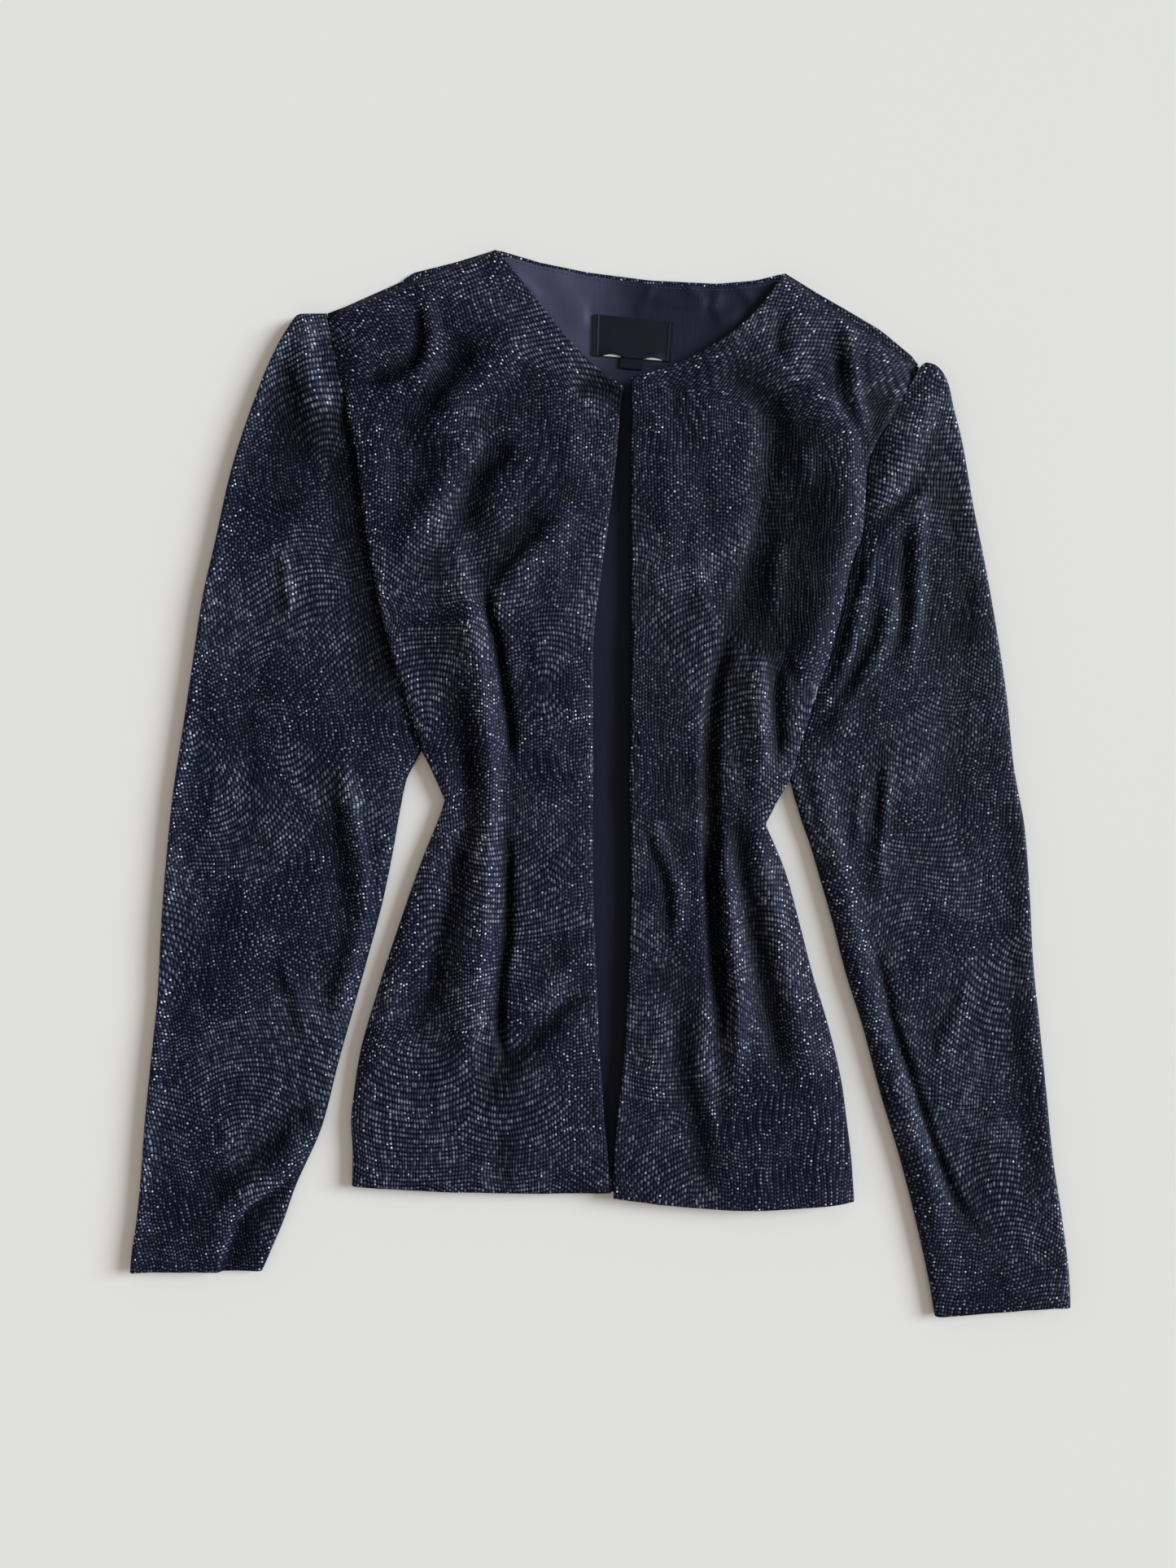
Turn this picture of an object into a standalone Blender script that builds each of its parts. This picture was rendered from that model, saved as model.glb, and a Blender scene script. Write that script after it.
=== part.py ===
"""Collarless open-front evening jacket in crinkled knit, laid flat with its fronts up.

The jacket lies on its back on the surface z = 0. X runs across it, Y from the hem to the
neck, and Z is up. The origin is the middle of its footprint. Tables are in millimetres.
Right and left are the wearer's: with the fronts up, the wearer's right is at -X.
"""

import math
from collections import namedtuple

import bmesh
import bpy
import numpy as np

MM = 0.001

# Cloth thicknesses and the clearance that a seam leaves
KNIT_WALL = 1.2
LINING_WALL = 1.0
LABEL_WALL = 1.0
SEAM_GAP = 0.3

# How high the cloth lies: outer skin of the fronts and of the sleeves' upper layer
FRONT_CROWN = 9.6
SLEEVE_CROWN = 11.2
CUFF_CROWN = 10.4
SEAM_EDGE = 2.7
ARMHOLE_CROWN = 7.0
FREE_EDGE_DROOP = 1.6
FREE_EDGE_REACH = 9.0
EDGE_ROLL = 4.6
ARMHOLE_ROLL = 11.0
CUFF_REACH = 25.0
FLOOR_BLEND = 0.6

# How far the hem bows towards the viewer's bottom edge, and how high up that is felt
RIGHT_HEM_SAG = 2.0
LEFT_HEM_SAG = 6.0
HEM_SAG_REACH = 40.0

# How far down the sleeve its rings still bend like the armhole
ARMHOLE_BEND_REACH = 70.0

# Half the height of a sleeve's folded edge, and how far in its underside lies flat
FOLD_MID = 2.1
FOLD_REACH = 1.4

# The fronts keep clear of the lining wherever it lies under them
LINING_TOP = KNIT_WALL + SEAM_GAP + LINING_WALL
LOWEST_FRONT = LINING_TOP + SEAM_GAP + KNIT_WALL + 0.4
LOWEST_SLEEVE = 3 * KNIT_WALL

# Mesh density
ROW_STEP = 18.0
RING_STEP = 22.0
SIDE_COLUMNS = (0.0, 1.5, 4.0, 9.0)
TUCK_COLUMNS = (-18.0, -10.0, -4.5, 0.0, 4.5, 10.0, 18.0)
CENTRE_COLUMNS = (-10.0, -4.0, 0.0)
BETWEEN_COLUMNS = 3
RING_EDGE_COLUMNS = (1.0, 3.5)

# How far the back lining stops short of the back's edges
LINING_INSET = 8.0
LINING_HEM_INSET = 18.0
NECK_STRIP = 3.0

Section = namedtuple("Section", "side_x side_y centre_x centre_y")
Ring = namedtuple("Ring", "outer_x outer_y inner_x inner_y")
Fold = namedtuple("Fold", "rise width path")

# Wearer's right front, from hem to shoulder seam
RIGHT_FRONT = (
    Section(-152.5, -248, 6.5, -252),
    Section(-152, -229, 5, -232),
    Section(-153, -209, 3, -211),
    Section(-151, -189, 1.5, -190),
    Section(-148, -169, 0, -170),
    Section(-137, -129, -2, -130),
    Section(-124, -89, -3.5, -90),
    Section(-110, -49, -4.5, -49),
    Section(-98, -19, -4.5, -20),
    Section(-95.5, -11, -4.5, -8),
    Section(-105, 10, -4.5, 8),
    Section(-110, 19.5, -4.5, 20),
    Section(-119, 50, -4.5, 52),
    Section(-130, 85, -4, 86),
    Section(-138, 120, 0, 124),
    Section(-145, 160, 5.5, 162),
    Section(-150, 200, 10.5, 205),
    Section(-153, 215, 12.5, 228),
    Section(-155.5, 227, 15, 242.5),
    Section(-158, 241, 4, 249.5),
    Section(-161, 254, -18.5, 270.5),
    Section(-164.5, 271, -38.5, 295.5),
    Section(-168, 288.5, -64, 328),
)
RIGHT_UNDERARM = 11

# Wearer's left front, from hem to shoulder seam
LEFT_FRONT = (
    Section(156, -257.5, 8, -254.5),
    Section(154, -229, 8.5, -228),
    Section(151.5, -209, 10, -208),
    Section(149, -189, 12.5, -188),
    Section(145, -169, 14.5, -168),
    Section(138.5, -144, 16, -142),
    Section(131, -120, 17, -118),
    Section(123, -89, 18, -88),
    Section(114, -56, 19, -54),
    Section(106, -36, 18.8, -34),
    Section(101.5, -26, 18.5, -24),
    Section(111, -8, 18, -8),
    Section(116.5, 1, 18, 2),
    Section(131.5, 50, 18.5, 50),
    Section(142.5, 82, 19, 82),
    Section(154.5, 134, 19, 137),
    Section(161, 155, 19, 165),
    Section(163, 178, 19, 200),
    Section(163.5, 193, 19, 226),
    Section(168, 204, 18.5, 247),
    Section(176, 217.5, 39, 253),
    Section(181.5, 228, 56.5, 260.5),
    Section(189.5, 242.5, 90, 283),
    Section(196.5, 255, 114, 312.5),
)
LEFT_UNDERARM = 12

# Sleeves, from cuff to the last ring before the armhole seam
RIGHT_SLEEVE = (
    Ring(-289, -300.5, -208, -300.5),
    Ring(-288, -289, -203, -289),
    Ring(-285, -269, -195, -270),
    Ring(-283, -249, -188, -250),
    Ring(-280, -209, -171, -211),
    Ring(-276, -169, -161.5, -174),
    Ring(-272, -129, -152, -140),
    Ring(-270, -89, -142.5, -106),
    Ring(-267, -49, -134, -74),
    Ring(-263, -9, -128, -45),
    Ring(-257, 31, -124, -22),
    Ring(-251, 71, -121, -6),
    Ring(-245, 111, -119, 2),
    Ring(-236, 151, -117, 6.5),
    Ring(-227, 191, -115, 10),
    Ring(-214, 231, -113.4, 13),
    Ring(-202, 261, -112.3, 15),
    Ring(-192, 279, -111.4, 16.7),
    Ring(-184, 288, -110.8, 18),
)
LEFT_SLEEVE = (
    Ring(289, -321.5, 206, -328.5),
    Ring(288.5, -308, 202.5, -308),
    Ring(284, -269, 194, -269),
    Ring(278, -229, 184, -230),
    Ring(274, -189, 172, -190),
    Ring(270, -149, 162, -152),
    Ring(266, -109, 151, -117),
    Ring(264, -69, 143, -86),
    Ring(261, -29, 135.5, -60),
    Ring(254, 11, 129, -38),
    Ring(250, 51, 124, -24),
    Ring(244, 91, 121, -14),
    Ring(237, 131, 119.2, -8.5),
    Ring(229, 171, 118.5, -5),
    Ring(222, 211, 117.9, -2.6),
    Ring(217, 231, 117.5, -1.2),
    Ring(213, 247.5, 117.2, -0.2),
    Ring(205, 257, 117, 0.5),
)

# The back's edge above the front shoulder seams, and its neck edge
RIGHT_SHOULDER_STRIP = ((-149, 297), (-123, 308.5), (-116, 314), (-88, 321))
NECK_EDGE = ((-64, 328.5), (-37, 320.5), (-8, 314.5), (31, 309.5), (72, 307.5), (96, 309.5), (114, 314))
LEFT_SHOULDER_STRIP = ((135, 301), (152.5, 291), (173.5, 278.5), (192, 263.5))

# Main tuck of each front, which its columns of points follow
RIGHT_TUCK = ((-88, 320), (-99, 200), (-77, 130), (-60, 56), (-60, 20), (-61, -70), (-66, -135), (-70, -255))
LEFT_TUCK = ((140, 290), (107, 190), (95, 100), (80, 48), (73, 12), (73, -51), (77, -110), (72, -260))

RIGHT_FRONT_FOLDS = (
    Fold(4.6, 9, ((-84, 150), (-77, 100), (-68, 55), (-66, 20), (-67, -25), (-68, -70), (-71, -120),
                  (-79, -155))),
    Fold(-4.6, 6, ((-76, 125), (-67, 90), (-56, 56), (-54, 21), (-56, -25), (-57, -70), (-61, -116),
                   (-64, -135))),
    Fold(3.2, 11, ((-38, 268), (-85, 190), (-99, 145))),
    Fold(-3.0, 9, ((-57, 277), (-116, 206))),
    Fold(-2.8, 9, ((-52, 202), (-73, 182), (-71, 154), (-60, 125))),
    Fold(-3.2, 8, ((-78, 5), (-80, -30), (-97, -81), (-101, -116), (-113, -160))),
    Fold(2.6, 9, ((-93, 12), (-90, -20), (-106, -60), (-119, -120), (-128, -160))),
    Fold(2.8, 10, ((-83, -150), (-97, -197))),
    Fold(-2.8, 10, ((-67, -146), (-58, -178), (-74, -206))),
    Fold(2.4, 10, ((-16, -137), (-53, -167))),
    Fold(-2.6, 7, ((-154, 240), (-114, 246))),
    Fold(-2.4, 7, ((-114, 300), (-111, 285), (-119, 270))),
)
LEFT_FRONT_FOLDS = (
    Fold(-4.8, 6, ((85, 62), (76, 38), (70, 12), (69, -51), (72, -98), (71, -129))),
    Fold(4.6, 9, ((94, 65), (83, 30), (80, -20), (80, -51), (84, -75), (92, -122), (92, -160), (77, -184))),
    Fold(-2.8, 13, ((112, 237), (105, 194), (112, 151), (102, 99))),
    Fold(-2.8, 9, ((98, -75), (112, -122), (123, -181))),
    Fold(-2.4, 9, ((69, -180), (59, -228))),
    Fold(-2.0, 8, ((32, -34), (43, -75), (40, -89))),
    Fold(2.0, 9, ((57, -42), (50, -105))),
    Fold(-2.4, 7, ((154, 280), (154, 230))),
    Fold(3.0, 9, ((141, 220), (152, 186), (152, 156), (139, 108), (122, 50), (109, 16))),
)
RIGHT_SLEEVE_FOLDS = (
    Fold(2.2, 7, ((-172, 280), (-165, 253), (-162, 230))),
    Fold(-2.4, 9, ((-180, 258), (-172, 222))),
    Fold(-2.2, 11, ((-160, 200), (-150, 130), (-130, 60))),
    Fold(-2.8, 10, ((-165, 15), (-149, -38), (-142, -75))),
    Fold(-2.4, 10, ((-197, -115), (-184, -156), (-170, -161))),
    Fold(-2.0, 9, ((-264, -174), (-256, -196), (-264, -247))),
)
LEFT_SLEEVE_FOLDS = (
    Fold(2.8, 9, ((203, 240), (174, 192))),
    Fold(-2.8, 9, ((189, 156), (191, 125), (185, 82))),
    Fold(-2.6, 9, ((168, 146), (159, 99), (150, 68))),
    Fold(-2.4, 9, ((170, 0), (170, -30), (163, -74))),
    Fold(-2.4, 9, ((166, -96), (182, -142), (202, -192), (213, -233), (237, -274))),
    Fold(1.6, 9, ((180, -96), (196, -142), (216, -192))),
)

# Diagonal fold-over at the right cuff: beyond this line the upper layer lies down
CUFF_FOLD = ((-185, -240), (-218, -263), (-232, -296), (-232, -310))
CUFF_FOLD_DEPTH = 4.2
CUFF_FOLD_SLOPE = 5.0

# Woven label and size tab, flat on the lining below the neck edge
LABEL_CORNERS = ((-4, 288), (45, 283), (43.5, 259), (-4.5, 262.5))
SIZE_TAB_CORNERS = ((12.5, 260.7), (26.5, 259.7), (26, 252.5), (12, 254))

# Finishes: name, colour, roughness
KNIT = ("navy_knit", (0.012, 0.017, 0.032, 1.0), 0.72)
SATIN = ("navy_lining", (0.020, 0.021, 0.045, 1.0), 0.38)
WOVEN = ("woven_label", (0.010, 0.012, 0.024, 1.0), 0.55)


def clear_scene():
    """Takes away the objects that a new file starts with."""
    for thing in list(bpy.data.objects):
        bpy.data.objects.remove(thing, do_unlink=True)


def finish(name, colour, roughness):
    """A plain cloth material, made once."""
    if name in bpy.data.materials:
        return bpy.data.materials[name]
    material = bpy.data.materials.new(name)
    material.use_nodes = True
    shader = material.node_tree.nodes["Principled BSDF"]
    shader.inputs["Base Color"].default_value = colour
    shader.inputs["Roughness"].default_value = roughness
    shader.inputs["Metallic"].default_value = 0.0
    return material


def offset_path(points, distance):
    """An open path moved sideways by distance, to its left, with mitred corners."""
    path = np.array(points, float)
    ahead = np.diff(path, axis=0)
    ahead /= np.linalg.norm(ahead, axis=1)[:, None]
    left = np.stack([-ahead[:, 1], ahead[:, 0]], axis=1)
    before, after = np.vstack([left[:1], left]), np.vstack([left, left[-1:]])
    mitre = before + after
    mitre /= np.linalg.norm(mitre, axis=1)[:, None]
    return path + mitre * (distance / (mitre * before).sum(axis=1))[:, None]


def distance_to_path(points, x, y):
    """How far the point (x, y) lies from an open path."""
    path = np.array(points, float)
    start, run = path[:-1], np.diff(path, axis=0)
    reach = ((np.array([x, y]) - start) * run).sum(axis=1) / (run * run).sum(axis=1)
    nearest = start + run * np.clip(reach, 0, 1)[:, None]
    return float(np.linalg.norm(nearest - (x, y), axis=1).min())


def folds_at(folds, x, y):
    """Sum of the soft ridges and troughs at a point."""
    return sum(f.rise * math.exp(-((distance_to_path(f.path, x, y) / f.width) ** 2)) for f in folds)


def soft_floor(height, lowest):
    """The height, eased so that it stays above lowest."""
    return lowest + FLOOR_BLEND * math.log1p(math.exp((height - lowest) / FLOOR_BLEND))


def roll(height, edge, distance, reach):
    """A height that comes down in a round roll to an edge."""
    return edge + (height - edge) * (1 - math.exp(-distance / reach))


def seam_height(from_end):
    """Height of the armhole seam, by distance from the nearer of its two ends."""
    return roll(ARMHOLE_CROWN, SEAM_EDGE, from_end, EDGE_ROLL)


def armhole_of(sections, underarm):
    """The armhole seam in plan, from underarm to shoulder point."""
    return [(s.side_x, s.side_y) for s in sections[underarm:]]


def side_of_panel(sections, underarm):
    """A front's side edge from hem to shoulder, drawn in by half a seam gap at the armhole."""
    sign = 1 if sections[0].side_x > 0 else -1
    seam = offset_path(armhole_of(sections, underarm), sign * SEAM_GAP / 2)
    return [(s.side_x, s.side_y) for s in sections[:underarm]] + [tuple(p) for p in seam]


def length_along(path):
    """Distance from the path's start to each of its points."""
    steps = np.linalg.norm(np.diff(np.array(path, float), axis=0), axis=1)
    return np.concatenate([[0.0], np.cumsum(steps)])


def tuck_at(tuck, y):
    """Where a front's main tuck crosses a height."""
    heights = [p[1] for p in reversed(tuck)]
    return float(np.interp(y, heights, [p[0] for p in reversed(tuck)]))


def row_columns(length, tuck):
    """Places along a row: close together at the side, the tuck and the centre edge."""
    low, high = SIDE_COLUMNS[-1], tuck + TUCK_COLUMNS[0]
    places = list(SIDE_COLUMNS)
    places += list(np.linspace(low, high, BETWEEN_COLUMNS + 1)[1:-1])
    places += [tuck + d for d in TUCK_COLUMNS]
    low, high = tuck + TUCK_COLUMNS[-1], length + CENTRE_COLUMNS[0]
    places += list(np.linspace(low, high, BETWEEN_COLUMNS + 2)[1:-1])
    return places + [length + d for d in CENTRE_COLUMNS]


def front_rows(sections, underarm, tuck, folds, hem_sag):
    """Points of one front, a row for each step from the hem to the shoulder seam."""
    side = side_of_panel(sections, underarm)
    ends = [np.array([*p, s.centre_x, s.centre_y]) for p, s in zip(side, sections)]
    rows = []
    for low, high in zip(ends, ends[1:]):
        apart = max(math.dist(low[:2], high[:2]), math.dist(low[2:], high[2:]))
        count = max(1, round(apart / ROW_STEP))
        rows += [low + (high - low) * k / count for k in range(count)]
    rows.append(ends[-1])
    seam = side[underarm:]
    shoulder = (ends[-1][:2], ends[-1][2:])
    placed = []
    for row in rows:
        start, end = row[:2], row[2:]
        length = math.dist(start, end)
        tuck_place = (tuck_at(tuck, (start[1] + end[1]) / 2) - start[0]) / (end[0] - start[0])
        sag = hem_sag * max(0.0, 1 - (row[1] - ends[0][1]) / HEM_SAG_REACH)
        edge = SEAM_EDGE
        reach = EDGE_ROLL
        if row[1] > seam[0][1]:
            along = min(math.dist(start, seam[0]), math.dist(start, seam[-1]))
            edge, reach = seam_height(along), ARMHOLE_ROLL
        points = []
        for place in row_columns(length, tuck_place * length):
            x, y = start + (end - start) * place / length
            height = FRONT_CROWN + folds_at(folds, x, y)
            height = soft_floor(height, LOWEST_FRONT)
            from_free = min(length - place, row[1] - ends[0][1])
            height -= FREE_EDGE_DROOP * math.exp(-from_free / FREE_EDGE_REACH)
            height = roll(height, edge, place, reach)
            height = roll(height, SEAM_EDGE, distance_to_path(shoulder, x, y), EDGE_ROLL)
            points.append((x, y - sag * math.sin(math.pi * place / length), height))
        placed.append(points)
    return placed


def cuff_drop(x, y):
    """How far the right cuff's upper layer lies down beyond its diagonal fold."""
    if y > CUFF_FOLD[0][1] + CUFF_FOLD_SLOPE:
        return 0.0
    edge = float(np.interp(-y, [-p[1] for p in CUFF_FOLD], [p[0] for p in CUFF_FOLD]))
    return CUFF_FOLD_DEPTH / (1 + math.exp(-(x - edge) / (CUFF_FOLD_SLOPE / 2)))


def sleeve_rings(table, sections, underarm, folds, folded_cuff):
    """Rings of one sleeve, from the cuff to the armhole seam: upper layer, then lower."""
    sign = 1 if sections[0].side_x > 0 else -1
    seam = offset_path(armhole_of(sections, underarm), -sign * SEAM_GAP / 2)[::-1]
    along = length_along(seam)
    shares = along / along[-1]
    seam_chord = [seam[0] + (seam[-1] - seam[0]) * share for share in shares]
    bulge = seam - np.array(seam_chord)
    ends = [np.array(ring, float) for ring in table] + [np.concatenate([seam[0], seam[-1]])]
    lines = []
    for low, high in zip(ends, ends[1:]):
        apart = max(math.dist(low[:2], high[:2]), math.dist(low[2:], high[2:]))
        count = max(1, round(apart / RING_STEP))
        lines += [low + (high - low) * k / count for k in range(count)]
    lines.append(ends[-1])
    cuff_y = table[0].outer_y
    rings = []
    for line in lines:
        start, end = line[:2], line[2:]
        length = math.dist(start, end)
        near = math.exp(-((math.dist(start, seam[0]) / ARMHOLE_BEND_REACH) ** 2))
        places = [0.0, *RING_EDGE_COLUMNS, *(shares[1:-1] * length)]
        places += [length - d for d in reversed(RING_EDGE_COLUMNS)] + [length]
        upper, lower = [], []
        for place in places:
            share = place / length
            shift = [np.interp(share, shares, bulge[:, k]) for k in (0, 1)]
            x, y = start + (end - start) * share + np.array(shift) * near
            from_end = min(place, length - place)
            crown = SLEEVE_CROWN + (CUFF_CROWN - SLEEVE_CROWN) * math.exp(-(y - cuff_y) / CUFF_REACH)
            height = crown + folds_at(folds, x, y)
            if folded_cuff:
                height -= cuff_drop(x, y)
            height = soft_floor(height, LOWEST_SLEEVE)
            from_seam = distance_to_path(seam, x, y)
            height = ARMHOLE_CROWN + (height - ARMHOLE_CROWN) * (1 - math.exp(-from_seam / ARMHOLE_ROLL))
            upper.append((x, y, roll(height, FOLD_MID, from_end, EDGE_ROLL)))
            lower.append((x, y, FOLD_MID * max(0.0, 1 - from_end / FOLD_REACH)))
        rings.append(upper + lower[-2:0:-1] + upper[:1])
    return rings


def cloth(name, rows, wall, look, home, closed=False):
    """A wall of cloth on rows of points: a grid bent into place, then given its thickness."""
    mesh = bpy.data.meshes.new(name)
    bm = bmesh.new()
    across, along = len(rows[0]) - 1, len(rows) - 1
    bmesh.ops.create_grid(bm, x_segments=across, y_segments=along, size=1.0)
    for vert in bm.verts:
        column = round((vert.co.x + 1) / 2 * across)
        row = round((vert.co.y + 1) / 2 * along)
        vert.co = [c * MM for c in rows[row][column]]
    if closed:
        bmesh.ops.remove_doubles(bm, verts=bm.verts, dist=0.01 * MM)
    bm.normal_update()
    if sum(f.normal.z * f.calc_area() * f.calc_center_median().z for f in bm.faces) < 0:
        bmesh.ops.reverse_faces(bm, faces=bm.faces)
    bm.to_mesh(mesh)
    bm.free()
    mesh.shade_smooth()
    mesh.materials.append(finish(*look))
    piece = bpy.data.objects.new(name, mesh)
    home.objects.link(piece)
    wall_modifier = piece.modifiers.new("wall", "SOLIDIFY")
    wall_modifier.thickness = wall * MM
    wall_modifier.offset = -1.0
    return piece


def flat_piece(name, outline, low, wall, look, home):
    """A flat piece of cloth from its outline, lying at the height low."""
    curve = bpy.data.curves.new(name, "CURVE")
    curve.dimensions = "2D"
    curve.fill_mode = "BOTH"
    curve.extrude = wall / 2 * MM
    spline = curve.splines.new("POLY")
    spline.points.add(len(outline) - 1)
    for point, (x, y) in zip(spline.points, outline):
        point.co = (x * MM, y * MM, 0.0, 1.0)
    spline.use_cyclic_u = True
    curve.materials.append(finish(*look))
    piece = bpy.data.objects.new(name, curve)
    piece.location.z = (low + wall / 2) * MM
    home.objects.link(piece)
    return piece


def back_outline():
    """The back in plan, anticlockwise from the wearer's left corner of the hem."""
    right = side_of_panel(RIGHT_FRONT, RIGHT_UNDERARM)
    left = side_of_panel(LEFT_FRONT, LEFT_UNDERARM)
    outline = [*left, *reversed(LEFT_SHOULDER_STRIP), *reversed(NECK_EDGE)]
    return [*outline, *reversed(RIGHT_SHOULDER_STRIP), *reversed(right)]


def lining_outline():
    """The back lining in plan: drawn in from the sides and the shoulder seams."""
    left = [*side_of_panel(LEFT_FRONT, LEFT_UNDERARM), NECK_EDGE[-1]]
    right = [NECK_EDGE[0], *reversed(side_of_panel(RIGHT_FRONT, RIGHT_UNDERARM))]
    neck = [(x, y - NECK_STRIP) for x, y in reversed(NECK_EDGE[1:-1])]
    sides = [*offset_path(left, LINING_INSET)[:-1], *neck, *offset_path(right, LINING_INSET)[1:]]
    hem = RIGHT_FRONT[0].side_y + LINING_HEM_INSET
    return [(x, y) for x, y in sides if y > hem]


def build():
    """Makes every piece of the jacket in its own collection."""
    clear_scene()
    home = bpy.data.collections.new("open_front_jacket")
    bpy.context.scene.collection.children.link(home)
    flat_piece("back", back_outline(), 0.0, KNIT_WALL, KNIT, home)
    flat_piece("back_lining", lining_outline(), KNIT_WALL + SEAM_GAP, LINING_WALL, SATIN, home)
    right = front_rows(RIGHT_FRONT, RIGHT_UNDERARM, RIGHT_TUCK, RIGHT_FRONT_FOLDS, RIGHT_HEM_SAG)
    left = front_rows(LEFT_FRONT, LEFT_UNDERARM, LEFT_TUCK, LEFT_FRONT_FOLDS, LEFT_HEM_SAG)
    cloth("front_right", right, KNIT_WALL, KNIT, home)
    cloth("front_left", left, KNIT_WALL, KNIT, home)
    right = sleeve_rings(RIGHT_SLEEVE, RIGHT_FRONT, RIGHT_UNDERARM, RIGHT_SLEEVE_FOLDS, True)
    left = sleeve_rings(LEFT_SLEEVE, LEFT_FRONT, LEFT_UNDERARM, LEFT_SLEEVE_FOLDS, False)
    cloth("sleeve_right", right, KNIT_WALL, KNIT, home, closed=True)
    cloth("sleeve_left", left, KNIT_WALL, KNIT, home, closed=True)
    label_low = LINING_TOP + SEAM_GAP
    flat_piece("neck_label", LABEL_CORNERS, label_low, LABEL_WALL, WOVEN, home)
    flat_piece("size_tab", SIZE_TAB_CORNERS, label_low, LABEL_WALL, WOVEN, home)


build()
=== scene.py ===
"""Looks of a collarless open-front jacket in glitter knit, laid flat with its fronts up.

Tables are in millimetres in the model's frame: X across, Y from hem to neck, Z up from the
surface. Right and left are the wearer's, so the wearer's right is at -X.
"""

from __future__ import annotations

import logging
import math
from dataclasses import dataclass
from enum import Enum
from typing import Callable, NamedTuple, Sequence

import bpy
import numpy as np
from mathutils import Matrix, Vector


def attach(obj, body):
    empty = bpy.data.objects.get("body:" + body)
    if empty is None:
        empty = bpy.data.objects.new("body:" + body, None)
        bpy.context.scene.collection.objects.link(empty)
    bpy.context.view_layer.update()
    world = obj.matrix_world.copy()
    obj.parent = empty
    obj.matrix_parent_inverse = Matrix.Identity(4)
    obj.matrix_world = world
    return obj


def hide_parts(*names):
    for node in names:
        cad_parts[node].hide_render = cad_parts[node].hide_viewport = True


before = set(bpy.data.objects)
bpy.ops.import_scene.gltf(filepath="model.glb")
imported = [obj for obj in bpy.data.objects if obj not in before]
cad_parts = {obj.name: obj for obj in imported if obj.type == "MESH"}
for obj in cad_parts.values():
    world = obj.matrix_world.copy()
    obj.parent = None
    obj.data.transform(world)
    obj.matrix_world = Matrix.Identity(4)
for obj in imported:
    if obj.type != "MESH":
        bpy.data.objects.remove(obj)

Array = np.ndarray
Socket = bpy.types.NodeSocket
LOG = logging.getLogger("jacket")
MM = 0.001
PER_METRE = 1000.0
BODY = "root"

# Cloth thicknesses and heights, in millimetres
KNIT_WALL = 1.0
LINING_WALL = 0.6
RIBBON_WALL = 0.5
BACK_TOP = 1.2
SEAM_GAP = 0.3
SEAM_FLOOR = BACK_TOP + SEAM_GAP
FRONT_CROWN = 8.8
SLEEVE_CROWN = 6.8
CUFF_CROWN = 6.0
LINING_TOP = 2.4
LOWEST_FRONT = 4.0
LOWEST_SLEEVE = 3.0

# Distances from a free edge at which its small round roll is drawn, and the roll's own size
EDGE_STEPS = (0.0, 0.12, 0.4, 0.85, 1.5)
EDGE_ROLL = 1.5
EDGE_DIP = 1.1

# Length in Y over which a front's side edge changes from a roll to a plain seam
ROLL_END = 24

# A crease's fade: share of its path at each end, and how fast a sharp one falls beside its path
END_TAPER = 0.22
SHARP_FALL = 1.5

# Painted light and shade of the cloth, low in folds and high on ridges: on flat cloth, per millimetre above
# near and far surroundings, and limits
PAINTED_LIGHT_FLAT = 0.57
PAINTED_LIGHT_NEAR = 0.27
PAINTED_LIGHT_FAR = 0.09
PAINTED_LIGHT_LIMITS = (0.06, 1.15)

# Hills of unevenness: height, then how far apart they lie in X and in Y
FRONT_HILLS = ((0.6, 23, 40), (0.4, 9, 18), (0.14, 3.1, 7))
SLEEVE_HILLS = ((0.5, 24, 44), (0.35, 9, 19), (0.14, 3.1, 7))
LINING_HILLS = ((0.14, 14, 60), (0.04, 3.6, 24))

# The knit's marks and painted glints: distances from the middle of a step, in steps, where a mark starts and
# is whole
WALE_MARK = (0.47, 0.13)
ROW_MARK = (0.34, 0.14)
COURSE_MARK = (0.38, 0.13)
PAINTED_GLINT_WIDTH = (0.34, 0.10)
PAINTED_GLINT_LENGTH = (0.28, 0.10)

# The knit's noises, in hills to a millimetre
WOBBLE_SCALE = 0.035
LOOSE_SCALE = 0.024
PATCH_SCALE = 0.045
DRIFT_SCALE = 0.013
CRINKLE_SCALE = 0.40

# The knit's strengths: ranges of noise or of painted light and shade, and gains with what is added to them
CHANCE_POWER = 2.4
CHANCE_GAIN = (1.20, 0.20)
PATCH_GAIN = (0.9, 0.5)
LOOSE_RANGE = (0.44, 0.64)
STRAY_GAIN = (0.36, 0.13)
# Painted shade dims the dashes where the painted light is low; painted glints come where it is high
DASH_PAINTED_LIGHT_RANGE = (-0.10, 1.05)
DASH_PAINTED_LIGHT_GAIN = (0.88, 0.12)
PAINTED_GLINT_LIGHT_GAIN = 0.115
PAINTED_GLINT_RANGE = (1.030, 1.085)
STEEP_RANGE = (0.45, 0.80)

# The knit's relief: gains of the crinkle, the wales and the dashes, and the bump's strength and depth
CRINKLE_GAIN = 1.5
WALE_GAIN = -0.25
DASH_GAIN = 0.25
KNIT_BUMP = (0.55, 0.0007)

# Numbers that keep one stitch's random values apart from another's
COURSE_SALT = 0.37
PAINTED_GLINT_SALT = 91.3
FLAT_NOISE = {"noise_dimensions": "2D"}


class Side(Enum):
    """Which of the wearer's sides a piece is on, with the sign of its X."""

    RIGHT = -1
    LEFT = 1


class Section(NamedTuple):
    """One line across a front, from its side edge to its centre or neck edge."""

    side_x: float
    side_y: float
    centre_x: float
    centre_y: float


class Ring(NamedTuple):
    """One flattened ring of a sleeve, from its outer fold to its inner fold."""

    outer_x: float
    outer_y: float
    inner_x: float
    inner_y: float


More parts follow.
